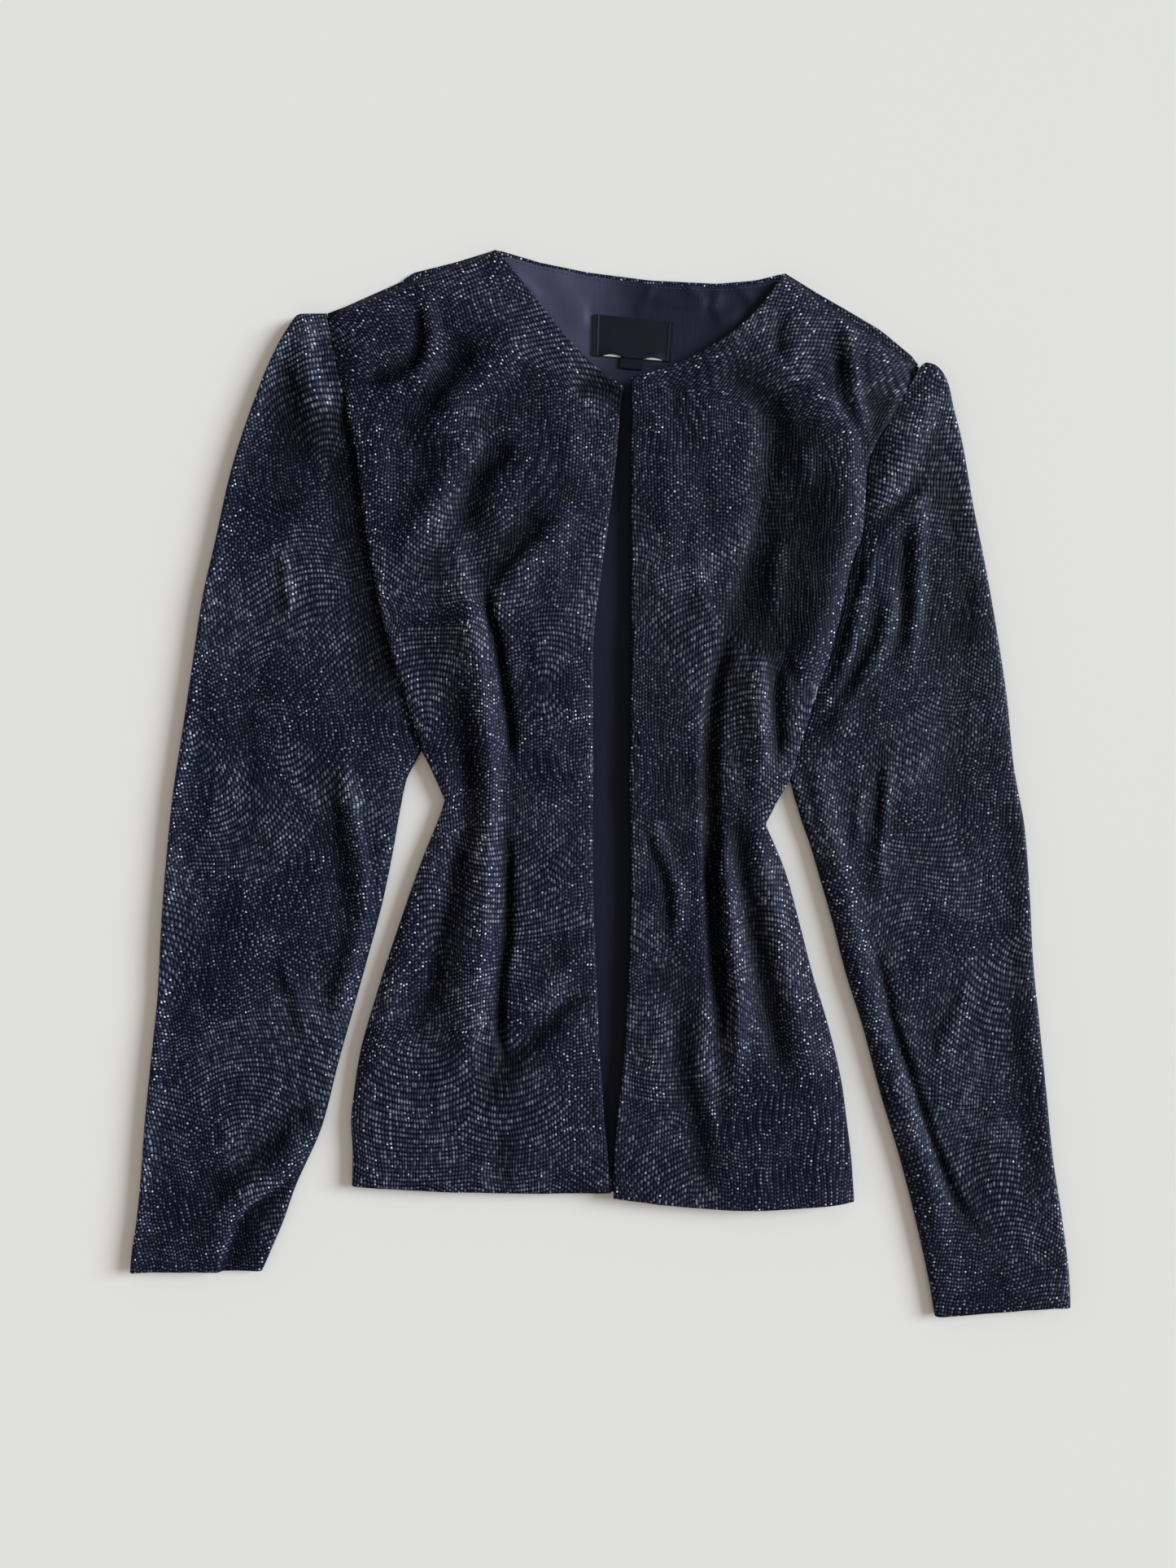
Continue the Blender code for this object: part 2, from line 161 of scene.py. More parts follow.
@dataclass(frozen=True)
class Crease:
    """A soft ridge or trough along a path, with its own width on each side."""

    rise: float
    left: float
    right: float
    path: tuple
    sharp: bool = False

    @classmethod
    def table(cls, *rows: tuple, sharp: bool = False) -> tuple:
        """Creases from rows of rise, left width, right width and the path's points."""
        return tuple(cls(rise, left, right, tuple(path), sharp) for rise, left, right, *path in rows)

    def lift(self, x: Array, y: Array) -> Array:
        """Height that the crease adds.

        Args:
            x, y: Places on the cloth.

        Returns:
            The added height at each place, negative in a trough.
        """
        path = smooth_path(np.array(self.path, float), steps=6)
        start, run = path[:-1], np.diff(path, axis=0)
        dx = x[..., None] - start[:, 0]
        dy = y[..., None] - start[:, 1]
        share = np.clip((dx * run[:, 0] + dy * run[:, 1]) / (run ** 2).sum(axis=1), 0, 1)
        away = np.hypot(dx - share * run[:, 0], dy - share * run[:, 1])
        nearest = away.argmin(axis=-1)[..., None]
        away = np.take_along_axis(away, nearest, -1)[..., 0]
        share = np.take_along_axis(share, nearest, -1)[..., 0]
        side = np.take_along_axis(run[:, 0] * dy - run[:, 1] * dx, nearest, -1)[..., 0]
        along = (nearest[..., 0] + share) / len(run)
        taper = smoothstep(along / END_TAPER) * smoothstep((1 - along) / END_TAPER)
        reach = away / np.where(side > 0, self.left, self.right)
        shape = np.exp(-SHARP_FALL * reach) if self.sharp else np.exp(-reach ** 2)
        return self.rise * shape * taper


@dataclass(frozen=True)
class PaintedShade(Crease):
    """Painted shade along a path, below 0, or painted light, above 0."""


def smoothstep(share: Array) -> Array:
    """Eases a share from 0 to 1 and holds it there."""
    held = np.clip(share, 0.0, 1.0)
    return held * held * (3 - 2 * held)


def between(x: Array, low: float, high: float, soft: float) -> Array:
    """1 between low and high, eased to 0 over a soft length inside each."""
    return smoothstep((x - low) / soft) * smoothstep((high - x) / soft)


def below(y: Array, level: float) -> Array:
    """1 below a level and 0 above it, eased over the end of the side roll."""
    return 1 - smoothstep((y - level) / ROLL_END + 0.5)


def grown(distance: Array, reach: float) -> Array:
    """0 at no distance, and near 1 well past reach."""
    return 1 - np.exp(-distance / reach)


def smooth_path(points: Array, steps: int) -> Array:
    """A Catmull-Rom path through points.

    Args:
        points: The path's own points.
        steps: How many steps each stretch is cut into.

    Returns:
        The points of the smooth path, ends included.
    """
    padded = np.vstack([2 * points[0] - points[1], points, 2 * points[-1] - points[-2]])
    share = np.linspace(0, 1, steps, endpoint=False)[:, None]
    path = []
    for k in range(len(points) - 1):
        a, b, c, d = padded[k:k + 4]
        path.append(0.5 * (2 * b + (c - a) * share + (2 * a - 5 * b + 4 * c - d) * share ** 2
                           + (3 * b - a - 3 * c + d) * share ** 3))
    return np.vstack([*path, points[-1:]])


def eased(keys: Array, values: Array, at: Array, corners: Sequence[int] = ()) -> Array:
    """A curve through values that never swings past them, with sharp turns at the corners.

    Args:
        keys: Rising places of the values.
        values: What the curve passes through.
        at: Where the curve is read.
        corners: Indices of values at which the curve may turn sharply.

    Returns:
        The curve's value at each place.
    """
    result = np.zeros_like(at)
    cuts = [0, *corners, len(keys) - 1]
    for low, high in zip(cuts, cuts[1:]):
        k, v = keys[low:high + 1], values[low:high + 1]
        step, rate = np.diff(k), np.diff(v) / np.diff(k)
        slope = np.concatenate([rate[:1], np.zeros(len(rate) - 1), rate[-1:]])
        for n in range(1, len(rate)):
            if rate[n - 1] * rate[n] > 0:
                before, after = 2 * step[n] + step[n - 1], step[n] + 2 * step[n - 1]
                slope[n] = (before + after) / (before / rate[n - 1] + after / rate[n])
        inside = (at >= k[0]) & (at <= k[-1])
        place = at[inside]
        cell = np.clip(np.searchsorted(k, place, "right") - 1, 0, len(step) - 1)
        s = (place - k[cell]) / step[cell]
        result[inside] = ((1 + 2 * s) * (1 - s) ** 2 * v[cell] + s * (1 - s) ** 2 * step[cell] * slope[cell]
                          + s * s * (3 - 2 * s) * v[cell + 1]
                          + s * s * (s - 1) * step[cell] * slope[cell + 1])
    return result


def ripple(x: Array, y: Array, size_x: float, size_y: float, seed: int) -> Array:
    """Smooth, seeded unevenness.

    Args:
        x, y: Places on the cloth.
        size_x, size_y: How far apart its hills lie.
        seed: Which unevenness it is.

    Returns:
        Values from -1 to 1.
    """
    cells = 61
    lattice = np.random.default_rng(seed).uniform(-1, 1, (cells, cells))
    gx, gy = x / size_x, y / size_y
    ix, iy = np.floor(gx).astype(int), np.floor(gy).astype(int)
    fx, fy = smoothstep(gx - ix), smoothstep(gy - iy)
    near = [lattice[(ix + a) % cells, (iy + b) % cells] for a in (0, 1) for b in (0, 1)]
    return (near[0] * (1 - fy) + near[1] * fy) * (1 - fx) + (near[2] * (1 - fy) + near[3] * fy) * fx


def uneven(x: Array, y: Array, hills: tuple, seed: int) -> Array:
    """Ripples of several sizes together, each with a seed of its own."""
    return sum(rise * ripple(x, y, *sizes, seed + k) for k, (rise, *sizes) in enumerate(hills))


def held_above(height: Array, lowest: float) -> Array:
    """The height, eased so that it stays above lowest."""
    blend = 0.7
    return lowest + blend * np.logaddexp(0, (height - lowest) / blend)


def steps_along(points: Array) -> Array:
    """Distance from a path's start to each of its points."""
    return np.concatenate([[0.0], np.cumsum(np.linalg.norm(np.diff(points, axis=0), axis=1))])


def read_path(at: Array, along: Array, path: Array) -> Array:
    """A path's X and Y at some distances, where along holds the distance of each of its points."""
    return np.stack([np.interp(at, along, path[:, k]) for k in (0, 1)], axis=-1)


def away_from(path: Array, x: Array, y: Array) -> Array:
    """How far each place lies from a path."""
    best = np.full(x.shape, np.inf)
    for a, b in zip(path, path[1:]):
        run = b - a
        share = np.clip(((x - a[0]) * run[0] + (y - a[1]) * run[1]) / (run @ run), 0, 1)
        best = np.minimum(best, np.hypot(x - a[0] - share * run[0], y - a[1] - share * run[1]))
    return best


def placed(name: str, data: bpy.types.ID) -> bpy.types.Object:
    """A new object, linked to the scene."""
    made = bpy.data.objects.new(name, data)
    bpy.context.scene.collection.objects.link(made)
    return made


# Finishes


class Graph:
    """A material's node graph, wired by short calls."""

    def __init__(self, name: str) -> None:
        """Starts a material with a Principled shader."""
        self.material = bpy.data.materials.new(name)
        self.material.use_nodes = True
        self.tree = self.material.node_tree
        self.shader = self.tree.nodes["Principled BSDF"]

    def node(self, kind: str, settings: dict | None = None, **inputs: object) -> bpy.types.Node:
        """Adds a node.

        Args:
            kind: The node's type, without its ShaderNode prefix.
            settings: Its properties.
            inputs: Its sockets by name, with spaces as underscores.

        Returns:
            The new node.
        """
        made = self.tree.nodes.new("ShaderNode" + kind)
        for key, value in (settings or {}).items():
            setattr(made, key, value)
        for key, value in inputs.items():
            self.plug(made.inputs[key.replace("_", " ")], value)
        return made

    def plug(self, socket: Socket, value: object) -> None:
        """Links a socket, or sets its value."""
        if isinstance(value, Socket):
            self.tree.links.new(value, socket)
        else:
            socket.default_value = value

    def operator(self, kind: str, operation: str, values: Sequence[object]) -> bpy.types.Node:
        """Adds a Math or VectorMath node and fills its first sockets."""
        made = self.node(kind, {"operation": operation})
        for socket, value in zip(made.inputs, values):
            self.plug(socket, value)
        return made

    def math(self, operation: str, *values: object) -> Socket:
        """The result of a Math node on one to three values."""
        return self.operator("Math", operation, values).outputs[0]

    def vector(self, operation: str, *values: object) -> Socket:
        """The result of a Vector Math node on its vectors."""
        return self.operator("VectorMath", operation, values).outputs[0]

    def scaled(self, value: object, factor: float) -> Socket:
        """A vector times a number."""
        made = self.operator("VectorMath", "SCALE", (value,))
        made.inputs["Scale"].default_value = factor
        return made.outputs[0]

    def length(self, value: object) -> Socket:
        """The length of a vector."""
        return self.operator("VectorMath", "LENGTH", (value,)).outputs["Value"]

    def weave(self) -> Socket:
        """The place on the piece's own weave map, in millimetres."""
        return self.scaled(self.node("UVMap", {"uv_map": "weave"}).outputs["UV"], PER_METRE)

    def split(self, place: object) -> Sequence[Socket]:
        """X and Y of a place."""
        return self.node("SeparateXYZ", Vector=place).outputs[:2]

    def noise(self, place: object, scale: float, detail: float = 1.0) -> bpy.types.Node:
        """Flat noise with this many hills to a unit."""
        return self.node("TexNoise", FLAT_NOISE, Vector=place, Scale=scale, Detail=detail)

    def chance(self, column: object, row: object) -> Socket:
        """A fixed random value, 0 to 1, for each stitch."""
        stitch = self.node("CombineXYZ", X=column, Y=row).outputs[0]
        return self.node("TexWhiteNoise", FLAT_NOISE, Vector=stitch).outputs["Value"]

    def bump(self, height: object, strength: float, distance: float) -> Socket:
        """The normal over a relief."""
        return self.node("Bump", Strength=strength, Distance=distance, Height=height).outputs["Normal"]

    def band(self, value: object, start: float, end: float) -> Socket:
        """0 at start, 1 at end, and eased between."""
        settings = {"interpolation_type": "SMOOTHSTEP"}
        return self.node("MapRange", settings, Value=value, From_Min=start, From_Max=end).outputs["Result"]

    def blend(self, share: object, first: object, second: object) -> Socket:
        """A colour between first and second."""
        made = self.node("Mix", {"data_type": "RGBA"})
        for name, value in (("Factor_Float", share), ("A_Color", first), ("B_Color", second)):
            self.plug(next(s for s in made.inputs if s.identifier == name), value)
        return next(s for s in made.outputs if s.identifier == "Result_Color")

    def finish(self, **inputs: object) -> bpy.types.Material:
        """Sets the shader's sockets and returns the material."""
        for key, value in inputs.items():
            self.plug(self.shader.inputs[key.replace("_", " ")], value)
        return self.material


@dataclass(frozen=True)
class GlitterKnit:
    """Crinkled navy knit with short silver dashes along its wales, in rows that swing in fans, with painted
    shade in its folds and painted glints on single stitches.
    """

    name: str
    shift: tuple
    ground: tuple = (0.0026, 0.0046, 0.0195, 1)
    # Painted shade: the ground's colour where the painted light is lowest, deep in a fold
    painted_shade_ground: tuple = (0.0006, 0.0009, 0.0046, 1)
    dash: tuple = (0.212, 0.250, 0.326, 1)
    # Painted glint: a highlight painted as colour on a few single stitches
    painted_glint: tuple = (0.80, 0.84, 0.92, 1)
    wale_mm: float = 1.85
    course_mm: float = 2.3
    row_mm: float = 3.05
    fan_mm: float = 84.0
    fan_bend_mm: float = 84.0 * 1.3
    swing_mm: float = 52.0
    drift_mm: float = 22.0
    wobble_mm: float = 5.0

    def material(self) -> bpy.types.Material:
        """The knit, drawn along the piece's own weave map."""
        g = Graph(self.name)
        weave = g.vector("ADD", g.weave(), (*self.shift, 0))
        across, along = g.split(weave)
        across = g.math("MULTIPLY_ADD", g.noise(weave, WOBBLE_SCALE).outputs["Fac"], self.wobble_mm, across)
        count = g.math("DIVIDE", across, self.wale_mm)
        wale = g.math("FLOOR", count)
        middle = g.math("MULTIPLY", g.math("ADD", wale, 0.5), self.wale_mm)
        phase, steep = self.rows(g, g.node("CombineXYZ", X=middle, Y=along).outputs[0])
        offset = g.node("TexWhiteNoise", {"noise_dimensions": "1D"}, W=wale).outputs["Value"]
        course = g.math("ADD", g.math("DIVIDE", along, self.course_mm), offset)
        shape = self.dashes(g, weave, count, phase, steep, course)
        row = g.math("MULTIPLY_ADD", g.math("MULTIPLY", g.math("FLOOR", course), COURSE_SALT),
                     g.math("GREATER_THAN", steep, 0.5), g.math("FLOOR", phase))
        strength = g.math("MULTIPLY_ADD", g.math("POWER", g.chance(wale, row), CHANCE_POWER), *CHANCE_GAIN)
        patch = g.noise(weave, PATCH_SCALE).outputs["Fac"]
        strength = g.math("MULTIPLY", strength, g.math("MULTIPLY_ADD", patch, *PATCH_GAIN))
        # Painted light and shade from the mesh: the ground darkens towards painted shade and the dashes dim
        # in folds
        painted_light = g.node("Attribute", {"attribute_name": "painted_light"}).outputs["Fac"]
        dash_painted_light = g.math("MULTIPLY_ADD", g.band(painted_light, *DASH_PAINTED_LIGHT_RANGE), *DASH_PAINTED_LIGHT_GAIN)
        mark = g.math("MULTIPLY", g.math("MULTIPLY", shape, strength), dash_painted_light)
        # Painted glints over the dashes and the ground
        bright = self.painted_glints(g, wale, count, course, painted_light)
        ground = g.blend(painted_light, self.painted_shade_ground, self.ground)
        colour = g.blend(bright, g.blend(mark, ground, self.dash), self.painted_glint)
        wave = g.math("COSINE", g.math("MULTIPLY", count, 2 * math.pi))
        crinkle = g.noise(g.vector("MULTIPLY", weave, (1.0, 0.42, 0)), CRINKLE_SCALE, 2.0).outputs["Fac"]
        relief = g.math("MULTIPLY_ADD", crinkle, CRINKLE_GAIN, g.math("MULTIPLY", wave, WALE_GAIN))
        relief = g.math("MULTIPLY_ADD", mark, DASH_GAIN, relief)
        return g.finish(Base_Color=colour, Roughness=0.60, Normal=g.bump(relief, *KNIT_BUMP),
                        Specular_IOR_Level=0.12)

    def dashes(self, g: Graph, weave: Socket, count: Socket, phase: Socket, steep: Socket,
               course: Socket) -> Socket:
        """Where the dashes lie: one to a wale on each row, and strays between rows in loose patches.

        Args:
            g: The graph that the nodes go into.
            weave: The place on the weave map.
            count, phase, course: The counts across the wales, across the rows and along the wales.
            steep: 1 where the row runs along the wales.

        Returns:
            0 to 1.
        """
        in_course = self.near_middle(g, course, COURSE_MARK)
        gate = g.math("MULTIPLY_ADD", steep, g.math("SUBTRACT", in_course, 1.0), 1.0)
        on_row = g.math("MULTIPLY", self.near_middle(g, phase, ROW_MARK), gate)
        loose = g.band(g.noise(weave, LOOSE_SCALE).outputs["Fac"], *LOOSE_RANGE)
        stray = g.math("MULTIPLY", in_course, g.math("MULTIPLY_ADD", loose, *STRAY_GAIN))
        return g.math("MULTIPLY", self.near_middle(g, count, WALE_MARK), g.math("MAXIMUM", on_row, stray))

    def painted_glints(self, g: Graph, wale: Socket, count: Socket, course: Socket, painted_light: Socket) -> Socket:
        """Painted glints, highlights painted as colour where a stitch would catch the light: few, small and
        uneven, and most of them where the painted light is high.

        Args:
            g: The graph that the nodes go into.
            wale, count: The wale's number, and the count that it comes from.
            course: The count along the wale.
            painted_light: The painted light and shade.

        Returns:
            0 to 1, mostly 0.
        """
        chance = g.chance(wale, g.math("ADD", g.math("FLOOR", course), PAINTED_GLINT_SALT))
        small = g.math("MULTIPLY", self.near_middle(g, count, PAINTED_GLINT_WIDTH),
                       self.near_middle(g, course, PAINTED_GLINT_LENGTH))
        lit = g.band(g.math("MULTIPLY_ADD", painted_light, PAINTED_GLINT_LIGHT_GAIN, chance), *PAINTED_GLINT_RANGE)
        return g.math("MULTIPLY", small, lit)

    def rows(self, g: Graph, place: Socket) -> tuple[Socket, Socket]:
        """Counts the dash rows: arcs about one centre in each of many patches with bent borders.

        Args:
            g: The graph that the nodes go into.
            place: The place on the knit, in millimetres.

        Returns:
            The count, whose whole part numbers the row, and 1 where the row runs along the wales.
        """
        middle = (0.5, 0.5, 0.5)
        drift = g.vector("SUBTRACT", g.noise(place, DRIFT_SCALE, 0.0).outputs["Color"], middle)
        bent = g.vector("ADD", place, g.scaled(drift, self.fan_bend_mm))
        fan = g.node("TexVoronoi", {"voronoi_dimensions": "2D", "feature": "F1"},
                     Vector=g.scaled(bent, 1 / self.fan_mm), Scale=1.0, Randomness=0.85)
        swing = g.vector("MULTIPLY", g.vector("SUBTRACT", fan.outputs["Color"], middle), (1, 1, 0))
        centre = g.vector("ADD", g.scaled(fan.outputs["Position"], self.fan_mm),
                          g.scaled(g.vector("NORMALIZE", swing), self.swing_mm))
        away = g.vector("SUBTRACT", g.vector("ADD", place, g.scaled(drift, self.drift_mm)), centre)
        radius = g.length(away)
        slant = g.math("DIVIDE", g.math("ABSOLUTE", g.split(away)[0]), radius)
        return g.math("DIVIDE", radius, self.row_mm), g.band(slant, *STEEP_RANGE)

    @staticmethod
    def near_middle(g: Graph, count: Socket, mark: tuple) -> Socket:
        """1 in the middle of a count's step, eased to 0 at the mark's border."""
        away = g.math("ABSOLUTE", g.math("SUBTRACT", g.math("FRACT", count), 0.5))
        return g.band(away, *mark)


@dataclass(frozen=True)
class SatinLining:
    """Smooth navy satin with a soft sheen, a painted sheen across the upper neck, and faint crepe wrinkles
    along its length.
    """

    name: str = "satin_lining"
    ground: tuple = (0.0105, 0.0126, 0.0320, 1)
    # Painted sheen: a paler colour where light falls on the satin across the upper neck
    pale: tuple = (0.0600, 0.0670, 0.1170, 1)
    sheen_across: tuple = (44.0, -14.0)
    sheen_along: tuple = (236.0, 268.0)
    cloud_mm: float = 30.0

    def material(self) -> bpy.types.Material:
        """The lining, on the piece's own weave map."""
        g = Graph(self.name)
        weave = g.weave()
        crepe = g.noise(g.vector("MULTIPLY", weave, (1.0, 0.10, 0)), 0.9, 2.0).outputs["Fac"]
        twill = g.node("TexWave", {"bands_direction": "DIAGONAL"}, Vector=weave, Scale=2.2, Distortion=0.4)
        relief = g.math("MULTIPLY_ADD", twill.outputs["Fac"], 0.08, g.math("MULTIPLY", crepe, 0.5))
        across, along = g.split(weave)
        cloud = g.math("MULTIPLY_ADD", g.noise(weave, 0.028).outputs["Fac"], self.cloud_mm, across)
        # Painted sheen: the colour goes paler in a band across the upper neck, with a wavy border
        sheen = g.math("MULTIPLY", g.band(cloud, *self.sheen_across), g.band(along, *self.sheen_along))
        return g.finish(Base_Color=g.blend(sheen, self.ground, self.pale),
                        Roughness=g.math("MULTIPLY_ADD", crepe, 0.14, 0.38),
                        Normal=g.bump(relief, 0.25, 0.0004), Specular_IOR_Level=0.4)


@dataclass(frozen=True)
class WovenRibbon:
    """Tightly woven label ribbon, bare, with fine ribs across it."""

    name: str
    ground: tuple
    edge: tuple
    ribs_per_mm: float = 2.4

    def material(self) -> bpy.types.Material:
        """The ribbon, on the piece's own weave map."""
        g = Graph(self.name)
        warp, weft = (g.math("SINE", g.math("MULTIPLY", place, self.ribs_per_mm * 2 * math.pi))
                      for place in g.split(g.weave()))
        checks = g.math("MULTIPLY", warp, weft)
        colour = g.blend(g.band(checks, -0.2, 1.4), self.ground, self.edge)
        return g.finish(Base_Color=colour, Roughness=0.52, Normal=g.bump(checks, 0.12, 0.0002),
                        Specular_IOR_Level=0.3)


@dataclass(frozen=True)
class Thread:
    """Sewing thread."""

    name: str
    colour: tuple

    def material(self) -> bpy.types.Material:
        """Thread with a fine twist."""
        g = Graph(self.name)
        place = g.scaled(g.node("TexCoord").outputs["Object"], PER_METRE)
        twist = g.node("TexWave", {"bands_direction": "DIAGONAL"}, Vector=place, Scale=1.8)
        return g.finish(Base_Color=self.colour, Roughness=0.6,
                        Normal=g.bump(twist.outputs["Fac"], 0.4, 0.0002))


@dataclass(frozen=True)
class PaperFloor:
    """Plain pale matt surface under the jacket."""

    name: str = "pale_floor"
    colour: tuple = (0.80, 0.80, 0.785, 1)
    darker: float = 0.985

    def material(self) -> bpy.types.Material:
        """A matt surface with the faintest unevenness."""
        g = Graph(self.name)
        place = g.node("TexCoord").outputs["Object"]
        cloud = g.node("TexNoise", Vector=place, Scale=2.0, Detail=1.0)
        shade = tuple(c * self.darker for c in self.colour[:3]) + (1,)
        return g.finish(Base_Color=g.blend(cloud.outputs["Fac"], self.colour, shade), Roughness=0.9,
                        Specular_IOR_Level=0.2)


# Sheets of cloth


def blurred(grid: Array, reach: int) -> Array:
    """A grid of values, softened over this many steps."""
    kernel = np.exp(-(np.arange(-2 * reach, 2 * reach + 1) / reach) ** 2)
    padded = np.pad(grid, 2 * reach, mode="edge")
    padded = np.apply_along_axis(np.convolve, 0, padded, kernel / kernel.sum(), "valid")
    return np.apply_along_axis(np.convolve, 1, padded, kernel / kernel.sum(), "valid")


def painted_light_map(x: Array, y: Array, height: Array, shades: tuple, reach: int) -> Array:
    """Painted light and shade: near 0, painted shade, deep in a fold, about 0.6 on flat cloth, 1 or more,
    painted light, on a ridge.

    Args:
        x, y, height: The cloth's outer face, on a grid.
        shades: Painted shade and painted light that add to what the height gives.
        reach: How many steps of the grid count as near.

    Returns:
        The value at each point, between its limits.
    """
    painted_from_height = (PAINTED_LIGHT_FLAT + PAINTED_LIGHT_NEAR * (height - blurred(height, reach))
                  + PAINTED_LIGHT_FAR * (height - blurred(height, 3 * reach)))
    return np.clip(painted_from_height + sum(shade.lift(x, y) for shade in shades), *PAINTED_LIGHT_LIMITS)


def sheet_mesh(name: str, points: Array, weave: Array, wall: float, looped: bool = False,
               painted_light: Array | None = None) -> bpy.types.Object:
    """A wall of cloth on a grid of points.

    Args:
        name: The piece's name.
        points: Rows by columns by three, in millimetres, on the cloth's outer face.
        weave: Rows by columns by two, in millimetres; one more column where looped.
        wall: Thickness, added on the inner side.
        looped: Whether the last column joins the first, as on a tube.
        painted_light: Painted light and shade at each point, kept as an attribute.

    Returns:
        The piece, with its weave map and its wall.
    """
    rows, columns = points.shape[:2]
    r, c = np.meshgrid(np.arange(rows - 1), np.arange(columns if looped else columns - 1), indexing="ij")
    corner_rows = np.stack([r, r, r + 1, r + 1], axis=-1).reshape(-1, 4)
    corner_columns = np.stack([c, c + 1, c + 1, c], axis=-1).reshape(-1, 4)
    flat = points.reshape(-1, 3) * MM
    faces = corner_rows * columns + corner_columns % columns
    a, b, d = flat[faces[:, 0]], flat[faces[:, 1]], flat[faces[:, 3]]
    normals = np.cross(b - a, d - a)
    if (normals[:, 2] * a[:, 2]).sum() < 0:
        faces, corner_rows, corner_columns = (g[:, ::-1] for g in (faces, corner_rows, corner_columns))
    mesh = bpy.data.meshes.new(name)
    mesh.from_pydata(flat.tolist(), [], faces.tolist())
    if painted_light is not None:
        mesh.attributes.new("painted_light", "FLOAT", "POINT").data.foreach_set("value", painted_light.ravel())
    layer = mesh.uv_layers.new(name="weave")
    layer.data.foreach_set("uv", (weave[corner_rows, corner_columns].reshape(-1, 2) * MM).ravel())
    piece = placed(name, mesh)
    thicken(piece, wall)
    return piece


def thicken(piece: bpy.types.Object, wall: float) -> None:
    """Gives a sheet its thickness on its inner side, and smooth shading with crisp rims.

    Args:
        piece: The sheet, whose faces lie on its outer side.
        wall: Thickness, in millimetres.
    """
    modifier = piece.modifiers.new("wall", "SOLIDIFY")
    modifier.thickness = wall * MM
    modifier.offset = -1.0
    bpy.ops.object.select_all(action="DESELECT")
    piece.select_set(True)
    bpy.context.view_layer.objects.active = piece
    bpy.ops.object.modifier_apply(modifier=modifier.name)
    bpy.ops.object.shade_smooth_by_angle(angle=math.radians(50))
    piece.select_set(False)


def area_of(points: Array, looped: bool = False) -> float:
    """Area of one face of a grid of points, in square metres."""
    grid = np.concatenate([points, points[:, :1]], axis=1) if looped else points
    a, b = grid[1:, 1:] - grid[:-1, :-1], grid[1:, :-1] - grid[:-1, 1:]
    return float(np.linalg.norm(np.cross(a, b), axis=-1).sum() / 2) * MM * MM


@dataclass
class Armhole:
    """A front's sections, with the seam line that it shares with a sleeve, in plan."""

    side: Side
    sections: tuple
    underarm: int
    waist: int
    neck_corner: int
    fine_steps: int = 400

    def keys(self) -> Array:
        """A rising place for each section."""
        table = np.array(self.sections, float)
        return (steps_along(table[:, :2]) + steps_along(table[:, 2:])) / 2

    def curve(self, at: Array, columns: tuple, corners: tuple) -> Array:
        """Two columns of the sections, read at places along them."""
        table = np.array(self.sections, float)
        return np.stack([eased(self.keys(), table[:, k], at, corners) for k in columns], axis=-1)

    def side_curve(self, at: Array) -> Array:
        """The side edge at places along the sections."""
        return self.curve(at, (0, 1), (self.waist, self.underarm))

    def centre_curve(self, at: Array) -> Array:
        """The centre and neck edge at places along the sections."""
        return self.curve(at, (2, 3), (self.neck_corner,))

    def armhole_edge(self) -> Array:
        """The side edge from underarm to shoulder point, in fine steps."""
        keys = self.keys()
        return self.side_curve(np.linspace(keys[self.underarm], keys[-1], self.fine_steps))

    def line(self, count: int, apart: float) -> Array:
        """The seam from shoulder point to underarm, moved sideways from its own line.

        Args:
            count: How many points.
            apart: How far it is moved away from the body.

        Returns:
            Points in plan.
        """
        edge = self.armhole_edge()[::-1]
        along = steps_along(edge)
        line = read_path(np.linspace(0, along[-1], count), along, edge)
        ahead = np.gradient(line, axis=0)
        ahead /= np.linalg.norm(ahead, axis=1)[:, None]
        outward = np.stack([ahead[:, 1], -ahead[:, 0]], axis=1)
        outward *= np.sign(outward[:, :1] * self.side.value)
        return line + outward * apart


